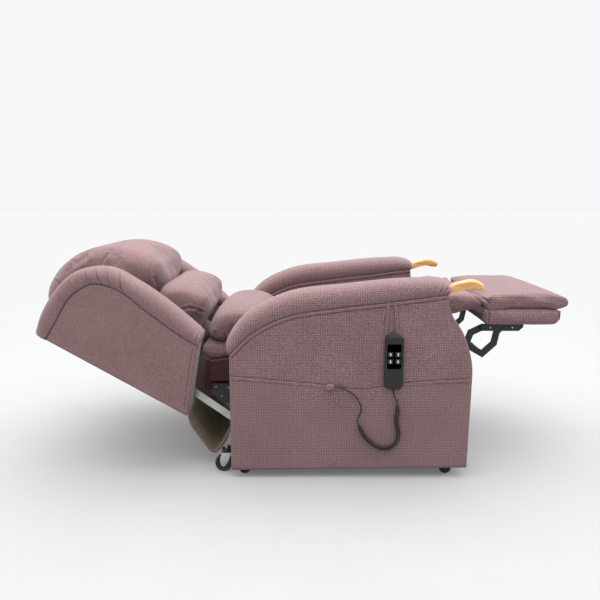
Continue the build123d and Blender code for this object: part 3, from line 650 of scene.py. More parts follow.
@dataclass
class Padded:
    """A stuffed piece between two planes of y, crowned and pulled in at its corners.

    The rough shape is remeshed, blown up a little as cloth, and creased.
    """

    name: str
    outline: Sequence[Point]
    low: float
    high: float
    place: Placer = side_point
    edge: float = 45.0
    start_inset: float = 7.0
    voxel: float = 7.0
    pressure: float = 4.0
    cap: float = 24.0
    rounding: bool = True
    taper: float = 0.0      # share that the ends shrink by, in place of an even inset
    creases: Sequence[Crease] = ()

    def build(self, material: bpy.types.Material) -> bpy.types.Object:
        """Make the piece.

        Args:
            material: its cloth.

        Returns:
            The finished mesh object.
        """
        loop = (smooth_path(self.outline, 140, closed=True) if self.rounding
                else straight_path([*self.outline, self.outline[0]], 8.0)[:-1])
        loop = inset(loop, self.start_inset)
        low, high = self.low + self.start_inset, self.high - self.start_inset
        tube = [[self.place(tuple(p), y) for p in self.narrowed(loop, drop)]
                for y, drop in rounded_edge(low, high, self.edge, steps=7)]
        piece = loft(self.name, tube, material)
        remesh = piece.modifiers.new("even", "REMESH")
        remesh.mode = "VOXEL"
        remesh.voxel_size = self.voxel * MM
        bake_modifiers(piece)
        if self.pressure > 0:
            self.inflate(piece)
        self.relax(piece, 2)
        finer = piece.modifiers.new("finer", "SUBSURF")
        finer.levels = finer.render_levels = 1
        bake_modifiers(piece)
        press_creases(piece, self.creases)
        if not piece.data.materials:
            piece.data.materials.append(material)
        return piece

    def narrowed(self, loop: np.ndarray, drop: float) -> np.ndarray:
        """The outline as it closes in towards an end of the piece.

        Args:
            loop: the full outline.
            drop: 0 away from the ends, 1 at an end.

        Returns:
            The smaller outline.
        """
        if self.taper:
            middle = loop.mean(axis=0)
            return middle + (loop - middle) * (1 - self.taper * drop)
        return inset(loop, self.edge * 0.75 * drop)

    def inflate(self, piece: bpy.types.Object) -> None:
        """Blow the cloth up and hold each point within the cap."""
        rest = np.zeros(len(piece.data.vertices) * 3)
        piece.data.vertices.foreach_get("co", rest)
        cloth = piece.modifiers.new("inflate", "CLOTH")
        cloth.settings.quality = 4
        cloth.settings.use_pressure = True
        cloth.settings.uniform_pressure_force = self.pressure
        cloth.settings.effector_weights.gravity = 0.0
        cloth.point_cache.frame_start, cloth.point_cache.frame_end = 1, CLOTH_FRAMES
        for step in range(1, CLOTH_FRAMES + 1):
            bpy.context.scene.frame_set(step)
        bake_modifiers(piece)
        bpy.context.scene.frame_set(1)
        moved = np.zeros(len(rest))
        piece.data.vertices.foreach_get("co", moved)
        shift = (moved - rest).reshape(-1, 3)
        size = np.linalg.norm(shift, axis=1, keepdims=True)
        limit = self.cap * MM
        shift *= limit * np.tanh(size / limit) / np.maximum(size, TINY)
        piece.data.vertices.foreach_set("co", (rest.reshape(-1, 3) + shift).ravel())
        piece.data.update()

    @staticmethod
    def relax(piece: bpy.types.Object, times: int) -> None:
        """Even out the mesh a little."""
        work = bmesh.new()
        work.from_mesh(piece.data)
        for _ in range(times):
            bmesh.ops.smooth_vert(work, verts=work.verts, factor=0.5, use_axis_x=True,
                                  use_axis_y=True, use_axis_z=True)
        work.to_mesh(piece.data)
        work.free()
        piece.data.shade_smooth()


@dataclass
class BoardSkin:
    """Cloth stretched over a board between two planes of y, with rounded edges."""

    name: str
    outline: np.ndarray
    low: float
    high: float
    place: Placer = side_point
    radius: float = 7.0
    crown: float = 1.5

    def build(self, material: bpy.types.Material) -> bpy.types.Object:
        """Make the skin.

        Args:
            material: its cloth.

        Returns:
            The finished mesh object.
        """
        loop = cleared(np.array(self.outline, float), 2.2 * self.radius)
        profile = rounded_edge(self.low, self.high, self.radius, steps=6)
        rings = []
        for y, drop in profile:
            closed_in = self.radius + self.crown if y in (self.low, self.high) else self.radius * drop
            rings.append([self.place(tuple(p), y) for p in inset(loop, closed_in)])
        return loft(self.name, rings, material)


@dataclass
class Roll:
    """A stuffed roll over the edge of an arm or a wing, pleated where it turns.

    A section stands on the seam and domes up to the crest line.
    """

    name: str
    seam: Sequence[Point]
    crest: Sequence[Point]
    inner: float
    outer: float
    place: Placer = side_point
    pleats: Sequence[tuple[Point, float]] = ()
    swell: float = 4.0
    stations: int = 330
    around: int = 72
    end_round: Point = (14.0, 20.0)
    fullness: float = 0.66
    tuck: float = 0.42
    pleat_width: float = 2.6

    def build(self, material: bpy.types.Material) -> bpy.types.Object:
        """Make the roll.

        Args:
            material: its cloth.

        Returns:
            The finished mesh object.
        """
        seam, crest = smooth_path(self.seam, self.stations), smooth_path(self.crest, self.stations)
        length = float(lengths_along(crest)[-1])
        folds = [(int(np.argmin(np.linalg.norm(crest - np.array(at), axis=1))) / (self.stations - 1), depth)
                 for at, depth in self.pleats]
        rings = []
        for k in range(self.stations):
            t = k / (self.stations - 1)
            shrink = min(self.end_scale(t * length, self.end_round[0]),
                         self.end_scale((1 - t) * length, self.end_round[1]))
            rings.append(self.ring(seam[k], crest[k], shrink, self.groove(t, length, folds)))
        return loft(self.name, rings, material)

    @staticmethod
    def end_scale(distance: float, radius: float) -> float:
        """How full the section is at a distance from an end."""
        if distance >= radius:
            return 1.0
        return 0.72 + 0.28 * math.sqrt(max(0.0, 1 - (1 - distance / radius) ** 2))

    def groove(self, t: float, length: float, folds: Sequence[Point]) -> float:
        """How deep the pleats pull in at a place along the roll.

        Args:
            t: the place, from 0 to 1.
            length: the crest's length.
            folds: place and depth of each pleat.

        Returns:
            The pull in millimetres, a little negative beside a pleat.
        """
        deep = 0.0
        for at, depth in folds:
            away = (t - at) * length / self.pleat_width
            deep += depth * (math.exp(-away * away) - 0.28 * math.exp(-((abs(away) - 2.3) ** 2) / 2))
        return deep

    def ring(self, foot: np.ndarray, top: np.ndarray, shrink: float, groove: float) -> list[Point3]:
        """One section of the roll, tucked in a little where it meets its seams.

        Args:
            foot: the seam's point.
            top: the crest's point.
            shrink: 1 away from the ends.
            groove: depth of the pleats here.

        Returns:
            The section's points in metres.
        """
        ring = []
        middle, half = (self.inner + self.outer) / 2, (self.outer - self.inner) / 2
        dome = self.around * 4 // 5
        up = top - foot
        tall = max(float(np.linalg.norm(up)), 1e-6)
        sunk = math.sin(self.tuck)
        for j in range(dome + 1):
            angle = -self.tuck + (math.pi + 2 * self.tuck) * j / dome
            across = math.copysign(abs(math.cos(angle)) ** self.fullness, math.cos(angle))
            level = max((math.sin(angle) + sunk) / (1 + sunk), 0.0)
            rise = level ** 0.86
            pull = groove * (0.25 + 0.75 * abs(math.cos(angle))) * min(1.0, 0.4 + 2 * level)
            reach = (half + self.swell) * (0.93 + 0.07 * shrink) - max(pull, -1.5)
            height = rise * (shrink * tall - pull * 0.7) / tall
            ring.append(self.place(tuple(foot + up * height), middle + across * reach))
        flat = self.around - dome
        for j in range(1, flat):
            across = -1 + 2 * j / flat
            ring.append(self.place(tuple(foot), middle + across * (half - 3.0)))
        return ring


def flat_strip(name: str, track: np.ndarray, y: float, wide: float, thick: float,
               place: Placer, material: bpy.types.Material, lift: float = 0.0) -> bpy.types.Object:
    """A narrow band of cloth that follows a line on a plane of y.

    Args:
        name: the piece's name.
        track: the band's middle line.
        y: the plane, in millimetres.
        wide: the band's width.
        thick: how proud it stands of the plane.
        place: where the line's points lie.
        material: its cloth.
        lift: shift of the band across its own run.

    Returns:
        The new piece.
    """
    run = unit(np.gradient(track, axis=0))
    normal = np.stack([-run[:, 1], run[:, 0]], axis=1)
    rings = []
    for point, out in zip(track, normal):
        ring = []
        for k in range(12):
            angle = 2 * math.pi * k / 12
            across = math.copysign(abs(math.cos(angle)) ** 0.6, math.cos(angle)) * wide / 2 + lift
            rise = math.copysign(abs(math.sin(angle)) ** 0.7, math.sin(angle)) * thick
            ring.append(place(tuple(point + out * across), y + rise))
        rings.append(ring)
    return loft(name, rings, material)


# ---- repeated details, by Geometry Nodes ---------------------------------------------
class Repeat(Enum):
    """What a row repeats."""

    STITCH = "stitch"
    RIVET = "rivet"


def row_tree(kind: Repeat, material: bpy.types.Material) -> bpy.types.NodeTree:
    """Build the tree that sets small shapes along a curve.

    Args:
        kind: a stitch lies along the curve, a rivet stands out of it.
        material: the finish of the shapes.

    Returns:
        The node group, with inputs Spacing, Length and Width in metres.
    """
    tree = bpy.data.node_groups.new(f"row_of_{kind.value}", "GeometryNodeTree")
    tree.interface.new_socket("Geometry", in_out="INPUT", socket_type="NodeSocketGeometry")
    for label, value in (("Spacing", 0.006), ("Length", 0.0045), ("Width", 0.0011)):
        socket = tree.interface.new_socket(label, in_out="INPUT", socket_type="NodeSocketFloat")
        socket.default_value = value
    tree.interface.new_socket("Geometry", in_out="OUTPUT", socket_type="NodeSocketGeometry")
    source = add_node(tree, "NodeGroupInput")
    spaced = add_node(tree, "GeometryNodeResampleCurve", {"mode": "LENGTH"},
                      {"Curve": source.outputs["Geometry"], "Length": source.outputs["Spacing"]})
    along = add_node(tree, "GeometryNodeInputTangent")
    turned = add_node(tree, "FunctionNodeAlignRotationToVector", {"axis": "X"},
                      {"Vector": along.outputs[0]})
    ball = add_node(tree, "GeometryNodeMeshUVSphere",
                    {"Segments": 8 if kind is Repeat.STITCH else 20,
                     "Rings": 5 if kind is Repeat.STITCH else 12, "Radius": 0.5})
    size = add_node(tree, "ShaderNodeCombineXYZ",
                    links={0: source.outputs["Length"], 1: source.outputs["Width"],
                           2: source.outputs["Width"]})
    placed = add_node(tree, "GeometryNodeInstanceOnPoints",
                      links={"Points": spaced.outputs[0], "Instance": ball.outputs["Mesh"],
                             "Rotation": turned.outputs[0], "Scale": size.outputs[0]})
    real = add_node(tree, "GeometryNodeRealizeInstances", links={0: placed.outputs[0]})
    dressed = add_node(tree, "GeometryNodeSetMaterial", {"Material": material}, {0: real.outputs[0]})
    add_node(tree, "NodeGroupOutput", links={0: dressed.outputs[0]})
    return tree


def add_spline(curve: bpy.types.Curve, kind: str, line: Sequence[Point3]) -> bpy.types.Spline:
    """Add a spline through points in metres to a curve."""
    spline = curve.splines.new(kind)
    spline.points.add(len(line) - 1)
    for point, place in zip(spline.points, line):
        point.co = (*place, 1)
    return spline


def row_along(name: str, lines: Sequence[Sequence[Point3]], tree: bpy.types.NodeTree,
              spacing: float, length: float, width: float) -> bpy.types.Object:
    """Run a row tree along lines and bake it to a mesh.

    Args:
        name: the piece's name.
        lines: polylines in metres.
        tree: the node group from row_tree.
        spacing: step along the line, in millimetres.
        length: size of a shape along the line.
        width: size of a shape across it.

    Returns:
        A plain mesh object.
    """
    curve = bpy.data.curves.new(name + "_line", "CURVE")
    curve.dimensions = "3D"
    for line in lines:
        add_spline(curve, "POLY", line)
    guide = linked(name + "_line", curve)
    modifier = guide.modifiers.new("row", "NODES")
    modifier.node_group = tree
    values = {"Spacing": spacing * MM, "Length": length * MM, "Width": width * MM}
    for item in tree.interface.items_tree:
        if item.in_out == "INPUT" and item.name in values:
            modifier[item.identifier] = values[item.name]
    mesh = evaluated(guide)
    bpy.data.objects.remove(guide)
    mesh.shade_smooth()
    return linked(name, mesh)


def keep(piece: bpy.types.Object, body: str, slot: str, *nodes: str) -> bpy.types.Object:
    """Ride a finished piece on its body, hide what it stands for, and report it.

    Args:
        piece: the finished object.
        body: the CAD body that it moves with.
        slot: the record's material slot; not used.
        nodes: CAD nodes that it replaces.

    Returns:
        The same piece.
    """
    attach(piece, body)
    if nodes:
        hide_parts(*nodes)
    LOG.info("%s on %s: %d faces", piece.name, body,
             len(piece.data.polygons) if piece.type == "MESH" else 0)
    return piece


# ---- cord ----------------------------------------------------------------------------
@dataclass
class HandsetCord:
    """The curled lead from the handset to the pocket's mouth."""

    plane: float = -(OUTER + 11.0)
    diameter: float = 4.2
    curl: float = 14.0
    pitch: float = 6.2
    resolution: int = 3      # points that Blender draws for each control point
    lead: Sequence[Point] = ((288, 287), (288, 273), (299, 259), (301, 243))
    coil: Sequence[Point] = ((301, 243), (303.9, 220), (297, 198), (303, 172), (308, 147), (303, 123),
                             (285, 106), (259, 102), (232, 113), (211, 132), (193, 154), (183, 178))
    tail: Sequence[Point] = ((183, 178), (177.2, 191.9), (181, 207), (189, 221), (190, 239), (182, 258),
                             (167, 276), (147, 292), (124, 302), (100, 302))

    def nurbs(self, name: str, points: Sequence[Point3]) -> bpy.types.Object:
        """Make a NURBS curve object through control points."""
        curve = bpy.data.curves.new(name, "CURVE")
        curve.dimensions = "3D"
        spline = add_spline(curve, "NURBS", points)
        spline.order_u = 3
        spline.use_endpoint_u = True
        curve.resolution_u = self.resolution
        return linked(name, curve)

    def sampled(self, points: Sequence[Point3], resolution: int) -> np.ndarray:
        """Read the points of the NURBS curve that Blender draws through a route."""
        guide = self.nurbs("route_guide", points)
        guide.data.resolution_u = resolution
        mesh = evaluated(guide)
        places = np.array([vertex.co for vertex in mesh.vertices])
        bpy.data.objects.remove(guide)
        return places

    def centreline(self, points: Sequence[Point]) -> np.ndarray:
        """Read points along the smooth route, evenly spaced."""
        places = self.sampled([side_point(p, self.plane) for p in points], 24)
        steps = lengths_along(places)
        count = int(steps[-1] / (self.pitch * MM) * 14)
        wanted = np.linspace(0, steps[-1], count)
        return np.stack([np.interp(wanted, steps, places[:, k]) for k in range(3)], axis=1)

    def helix(self) -> list[Point3]:
        """Wind the coil round its centreline, with the ends drawn in to the middle."""
        middle = self.centreline(self.coil)
        run = unit(np.gradient(middle, axis=0))
        across = np.array([0.0, 1.0, 0.0])
        steps = lengths_along(middle)
        radius = (self.curl - self.diameter) / 2 * MM
        points = []
        for k, place in enumerate(middle):
            angle = 2 * math.pi * steps[k] / (self.pitch * MM)
            ends = min(steps[k], steps[-1] - steps[k]) / (5.0 * MM)
            side = np.cross(run[k], across)
            swing = radius * min(1.0, ends)
            points.append(tuple(place + swing * (math.cos(angle) * side + math.sin(angle) * across)))
        return points

    def build(self, palette: Palette) -> None:
        route = [side_point(p, self.plane) for p in self.lead[:-1]] + self.helix()
        route += [side_point(p, self.plane) for p in self.tail[1:]]
        cord = self.nurbs("handset_cord", route)
        cord.data.bevel_depth = self.diameter / 2 * MM
        cord.data.bevel_resolution = 3
        cord.data.use_fill_caps = True
        cord.data.materials.append(palette.cord)
        length = float(lengths_along(self.sampled(route, self.resolution))[-1])
        keep(cord, "chassis", "cord_sheath", "handset_lead", "handset_coil", "handset_tail")
        LOG.info("cord length %.3f m", length)


# ---- sub-assemblies ------------------------------------------------------------------
def lathe(name: str, profile: Sequence[Point], centre: Point, material: bpy.types.Material,
          y: float = 0.0, segments: int = 64) -> bpy.types.Object:
    """Turn a closed profile about a level axis along Y.

    Args:
        name: the piece's name.
        profile: (radius, distance along Y) points of a closed outline, in millimetres.
        centre: the axis in the side view.
        material: its finish.
        y: shift of the whole profile.
        segments: steps round the axis.

    Returns:
        The new piece.
    """
    points, faces, size = [], [], len(profile)
    for step in range(segments):
        angle = 2 * math.pi * step / segments
        after = (step + 1) % segments
        for k, (radius, along) in enumerate(profile):
            points.append(side_point((centre[0] + radius * math.cos(angle),
                                      centre[1] + radius * math.sin(angle)), y + along))
            nxt = (k + 1) % size
            faces.append((step * size + k, step * size + nxt, after * size + nxt, after * size + k))
    return mesh_piece(name, points, faces, material)


@dataclass
class Studio:
    """Camera, lights, world and floor."""

    lens: float = 36.0
    where: Point3 = (0.0, -2.166, 0.880)
    pitch: float = 9.8
    near_light: float = 0.3
    top_light: float = 3.3
    backdrop: float = 0.94   # how bright the backing looks
    reach: float = 30.0      # half the floor's side, in metres

    def build(self) -> None:
        """Set the studio up: a pale floor that fades into the backing, a bright ceiling and three soft
        lamps.
        """
        bpy.context.scene.view_settings.view_transform = "Standard"
        camera_data = bpy.data.cameras.new("camera")
        camera_data.lens, camera_data.sensor_width = self.lens, 36.0
        camera = linked("camera", camera_data)
        camera.location = self.where
        camera.rotation_euler = (math.radians(90.0 - self.pitch), 0, 0)
        bpy.context.scene.camera = camera
        world = bpy.data.worlds.new("studio")
        world.use_nodes = True
        tree = world.node_tree
        where = add_node(tree, "ShaderNodeTexCoord")
        way = add_node(tree, "ShaderNodeSeparateXYZ", links={0: where.outputs["Generated"]})
        across = add_node(tree, "ShaderNodeMapRange", {"From Min": -0.9, "From Max": 0.25,
                                                       "To Min": self.near_light,
                                                       "To Max": self.backdrop},
                          {"Value": way.outputs["Y"]})
        above = add_node(tree, "ShaderNodeMapRange", {"From Min": 0.35, "From Max": 1.0, "To Min": 0.0,
                                                      "To Max": self.top_light},
                         {"Value": way.outputs["Z"]})
        light = maths(tree, "ADD", across.outputs[0], above.outputs[0])
        backing = tree.nodes["Background"]
        backing.inputs["Color"].default_value = linear("#fdfdff")
        ray = add_node(tree, "ShaderNodeLightPath")
        seen = add_node(tree, "ShaderNodeMix", {"data_type": "FLOAT", 3: self.backdrop},
                        {0: ray.outputs["Is Camera Ray"], 2: light})
        tree.links.new(seen.outputs[0], backing.inputs["Strength"])
        bpy.context.scene.world = world
        for label, place, size, power in (("overhead", (-0.2, 0.1, 2.6), 2.4, 22.0),
                                          ("front", (-1.2, -2.8, 2.2), 1.8, 3.0),
                                          ("far", (1.8, 1.6, 2.3), 1.8, 3.0)):
            lamp = bpy.data.lights.new(label, "AREA")
            lamp.energy, lamp.size, lamp.color = power, size, (1.0, 0.985, 0.97)
            light = linked(label, lamp)
            light.location = place
            aim = Vector((0.0, 0.0, 0.4)) - Vector(place)
            light.rotation_euler = aim.to_track_quat("-Z", "Y").to_euler()
        corners = [(x * self.reach, y * self.reach, 0) for x, y in ((-1, -1), (1, -1), (1, 1), (-1, 1))]
        paint = Solid("Matt_painted_floor", "#989998", "#959695", 0.9, grain=3.0, relief=0.0)
        floor = mesh_piece("studio_floor", corners, [(0, 1, 2, 3)], paint.material())
        shader = floor.data.materials[0].node_tree.nodes["Principled BSDF"]
        shader.inputs["Emission Color"].default_value = linear("#ffffff")
        shader.inputs["Emission Strength"].default_value = 0.12
        self.fade(floor.data.materials[0].node_tree, shader)

    def fade(self, tree: bpy.types.NodeTree, shader: bpy.types.Node) -> None:
        """Fade the floor out to the tone of the backing.

        Args:
            tree: the floor's material.
            shader: its main shader.
        """
        where = add_node(tree, "ShaderNodeTexCoord")
        reach = add_node(tree, "ShaderNodeVectorMath", {"operation": "LENGTH"},
                         {0: where.outputs["Object"]})
        share = add_node(tree, "ShaderNodeMapRange", {"From Min": 1.5, "From Max": 4.5},
                         {"Value": reach.outputs["Value"]})
        plain = add_node(tree, "ShaderNodeEmission", {"Strength": self.backdrop})
        mixed = add_node(tree, "ShaderNodeMixShader",
                         links={0: share.outputs[0], 1: shader.outputs[0], 2: plain.outputs[0]})
        end = next(node for node in tree.nodes if node.type == "OUTPUT_MATERIAL")
        tree.links.new(mixed.outputs[0], end.inputs["Surface"])


@dataclass
class Sided:
    """Something that the chair has on both sides."""

    side: Side
    palette: Palette

    def across(self, near: float, far: float) -> Point:
        """Low and high y of a layer from near to far of the middle."""
        return tuple(sorted((self.side.value * near, self.side.value * far)))

    def named(self, label: str) -> str:
        """A piece's name with its side."""
        return f"{label}_{self.side.word}"


@dataclass
class Arm(Sided):
    """One arm: boards under stretched cloth, a stuffed roll, a double welt and a beech grip."""

    seam: Sequence[Point] = ((-218, 400), (-156, 461), (-53, 516), (100, 544), (253, 562), (447, 588))
    crest: Sequence[Point] = ((-233, 431), (-213, 469), (-159, 528), (-54, 581), (155, 613), (363, 631),
                              (415, 631), (452, 619), (466, 604))
    front: Sequence[Point] = ((447, 588), (453, 549), (503, 460), (530, 370), (532, 283))
    grip: Sequence[Point] = ((466, 607), (506, 623), (528, 627), (553, 622), (573, 606), (570, 593),
                             (554, 591), (523, 596), (480, 586), (458, 579))
    low_front: Point = (528, 32)
    low_rear: Point = (-218, 24)
    board: float = 15.0

    def build(self) -> None:
        """Make every piece of the arm."""
        self.boards()
        self.stuffed_roll()
        self.welts()
        self.handle()

    def outline(self, low: float) -> np.ndarray:
        """The side board's outline down to its lower edge at z = low for the inner board."""
        seam, front = smooth_path(self.seam, 110), smooth_path(self.front, 60)
        if low:
            rest = straight_path([self.front[-1], (529, low), (self.low_rear[0], low), self.seam[0]], 8.0)
        else:
            rest = straight_path([self.front[-1], self.low_front, self.low_rear, self.seam[0]], 8.0)
        return np.vstack([seam[:-1], front[:-1], rest[:-1]])

    def boards(self) -> None:
        """Skin the outer board, the front and rear boards and the inner board."""
        outer = BoardSkin(self.named("side_cover"), self.outline(0), *self.across(370, OUTER),
                          radius=6.0).build(self.palette.cloth)
        keep(outer, "chassis", "upholstery", self.named("side_panel"))
        front = np.vstack([smooth_path(self.front, 60), [[531.0, 200.0], [529.0, 70.0]]])
        inner_edge = front - np.array([self.board, 0.0])
        strip = np.vstack([front, inner_edge[::-1]])
        rear = np.array([(-218, 392), (-218, 100), (-203, 100), (-203, 392)], float)
        for label, outline in (("front_cover", strip), ("rear_cover", rear)):
            keep(BoardSkin(self.named(label), outline, *self.across(256.5, 371),
                           radius=3.0, crown=0).build(self.palette.cloth), "chassis", "upholstery")
        inside = BoardSkin(self.named("inner_cover"), self.outline(48), *self.across(ARM_INNER, 269),
                           radius=5.0).build(self.palette.cloth)
        keep(inside, "chassis", "upholstery", self.named("inner_panel"))

    def stuffed_roll(self) -> None:
        """Make the roll on top of the arm."""
        low, high = self.across(ARM_INNER + 1, OUTER - 1)
        pleats = (((-80, 568), 2.5), ((444, 631), 3.0), ((457, 622), 4.0), ((463, 613), 4.0))
        roll = Roll(self.named("arm_pad"), self.seam, self.crest, low, high, pleats=pleats,
                    swell=4.0).build(self.palette.cloth)
        keep(roll, "chassis", "upholstery", self.named("arm_roll"))

    def welts(self) -> None:
        """Sew the flat double welt under the roll, on both faces of the arm, with dark strips of painted
        shade along its seams.
        """
        track = smooth_path(self.seam, 130)
        for label, y in (("outer", OUTER), ("inner", ARM_INNER)):
            edge = self.side.value * y
            band = flat_strip(self.named(f"arm_welt_{label}"), track, edge, 10.0, 1.8, side_point,
                              self.palette.cloth, lift=-6.0)
            keep(band, "chassis", "upholstery")
            # painted shade: two dark strips stand for the shaded valleys of the welt's seams
            for count, (lift, wide) in enumerate(((-0.5, 3.4), (-12.0, 2.0))):
                line = flat_strip(self.named(f"arm_seam_{label}_{count + 1}"), track, edge, wide, 0.9,
                                  side_point, self.palette.seam, lift=lift)
                keep(line, "chassis", "upholstery")

    def handle(self) -> None:
        """Shape the beech grip, rounded all over."""
        grip = Padded(self.named("beech_grip"), self.grip, *self.across(307, 333), edge=12.5,
                      start_inset=0.3, voxel=2.5, pressure=0.0).build(self.palette.beech)
        keep(grip, "chassis", "beech", self.named("arm_handle"))


@dataclass
class Wing(Sided):
    """One wing of the back: a covered board with a pleated roll round it."""

    seam: Sequence[Point] = ((499, 1), (497, 60), (486, 175), (452, 228), (388, 249), (276, 236),
                             (152, 220), (84, 217))
    crest: Sequence[Point] = ((541, 1), (551, 50), (551, 123), (517, 231), (440, 288), (336, 294),
                              (196, 278), (88, 254))
    front: Sequence[Point] = ((84, 217), (64, 157), (40, 93), (8, 10.5))

    def build(self) -> None:
        """Make the wing's cover and roll, with dark strips of painted shade along its seams."""
        seam, front = smooth_path(self.seam, 110), smooth_path(self.front, 50)
        rest = straight_path([self.front[-1], (12, 0.5), (499, 0.5), self.seam[0]], 8.0)
        outline = np.vstack([seam[:-1], front[:-1], rest[:-1]])
        cover = BoardSkin(self.named("wing_cover"), outline, *self.across(WING_IN, WING_OUT), back_point,
                          radius=6.0).build(self.palette.back_cloth)
        keep(cover, "back", "upholstery", self.named("wing"))
        pleats = (((549, 150), 3.0), ((531, 205), 3.5), ((497, 250), 4.5), ((470, 275), 5.0),
                  ((440, 288), 4.5), ((397, 293), 5.5), ((100, 256), 3.0))
        roll = Roll(self.named("wing_pad"), self.seam, self.crest, *self.across(WING_IN, WING_OUT),
                    place=back_point, pleats=pleats, swell=3.0, end_round=(4.0, 16.0), stations=420)
        keep(roll.build(self.palette.back_cloth), "back", "upholstery", self.named("wing_roll"))
        # painted shade: dark strips stand for the shaded valleys of the roll's seams and of the front seam
        for label, y in (("outer", WING_OUT), ("inner", WING_IN)):
            line = flat_strip(self.named(f"wing_seam_{label}"), smooth_path(self.seam, 150),
                              self.side.value * y, 3.4, 0.9, back_point, self.palette.seam)
            keep(line, "back", "upholstery")
        strip = smooth_path(self.front, 60)[4:-4] + np.array([14.0, 0.0])
        line = flat_strip(self.named("wing_front_seam_shade"), strip, self.side.value * WING_OUT, 1.8,
                          0.7, back_point, self.palette.seam)
        keep(line, "back", "upholstery")


@dataclass
class BackBoards:
    """The boards behind the pillows and the cover stretched over the rear of the back."""

    palette: Palette

    def build(self) -> None:
        """Make the rear cover and the covered boards behind the pillows."""
        rear = straight_path([(6, 0), (530, 0), (530, 11), (6, 11), (6, 0)], 12.0)[:-1]
        cover = BoardSkin("rear_cover", rear, -WING_OUT + 3, WING_OUT - 3, back_point, radius=3.5,
                          crown=0).build(self.palette.back_cloth)
        keep(cover, "back", "upholstery", "back_frame")
        block = straight_path([(86, 10), (524, 10), (524, 148), (86, 148), (86, 10)], 12.0)[:-1]
        boards = BoardSkin("inner_boards", block, -SEAT_HALF - 2, SEAT_HALF + 2, back_point, radius=8.0,
                           crown=0).build(self.palette.back_cloth)
        keep(boards, "back", "upholstery")


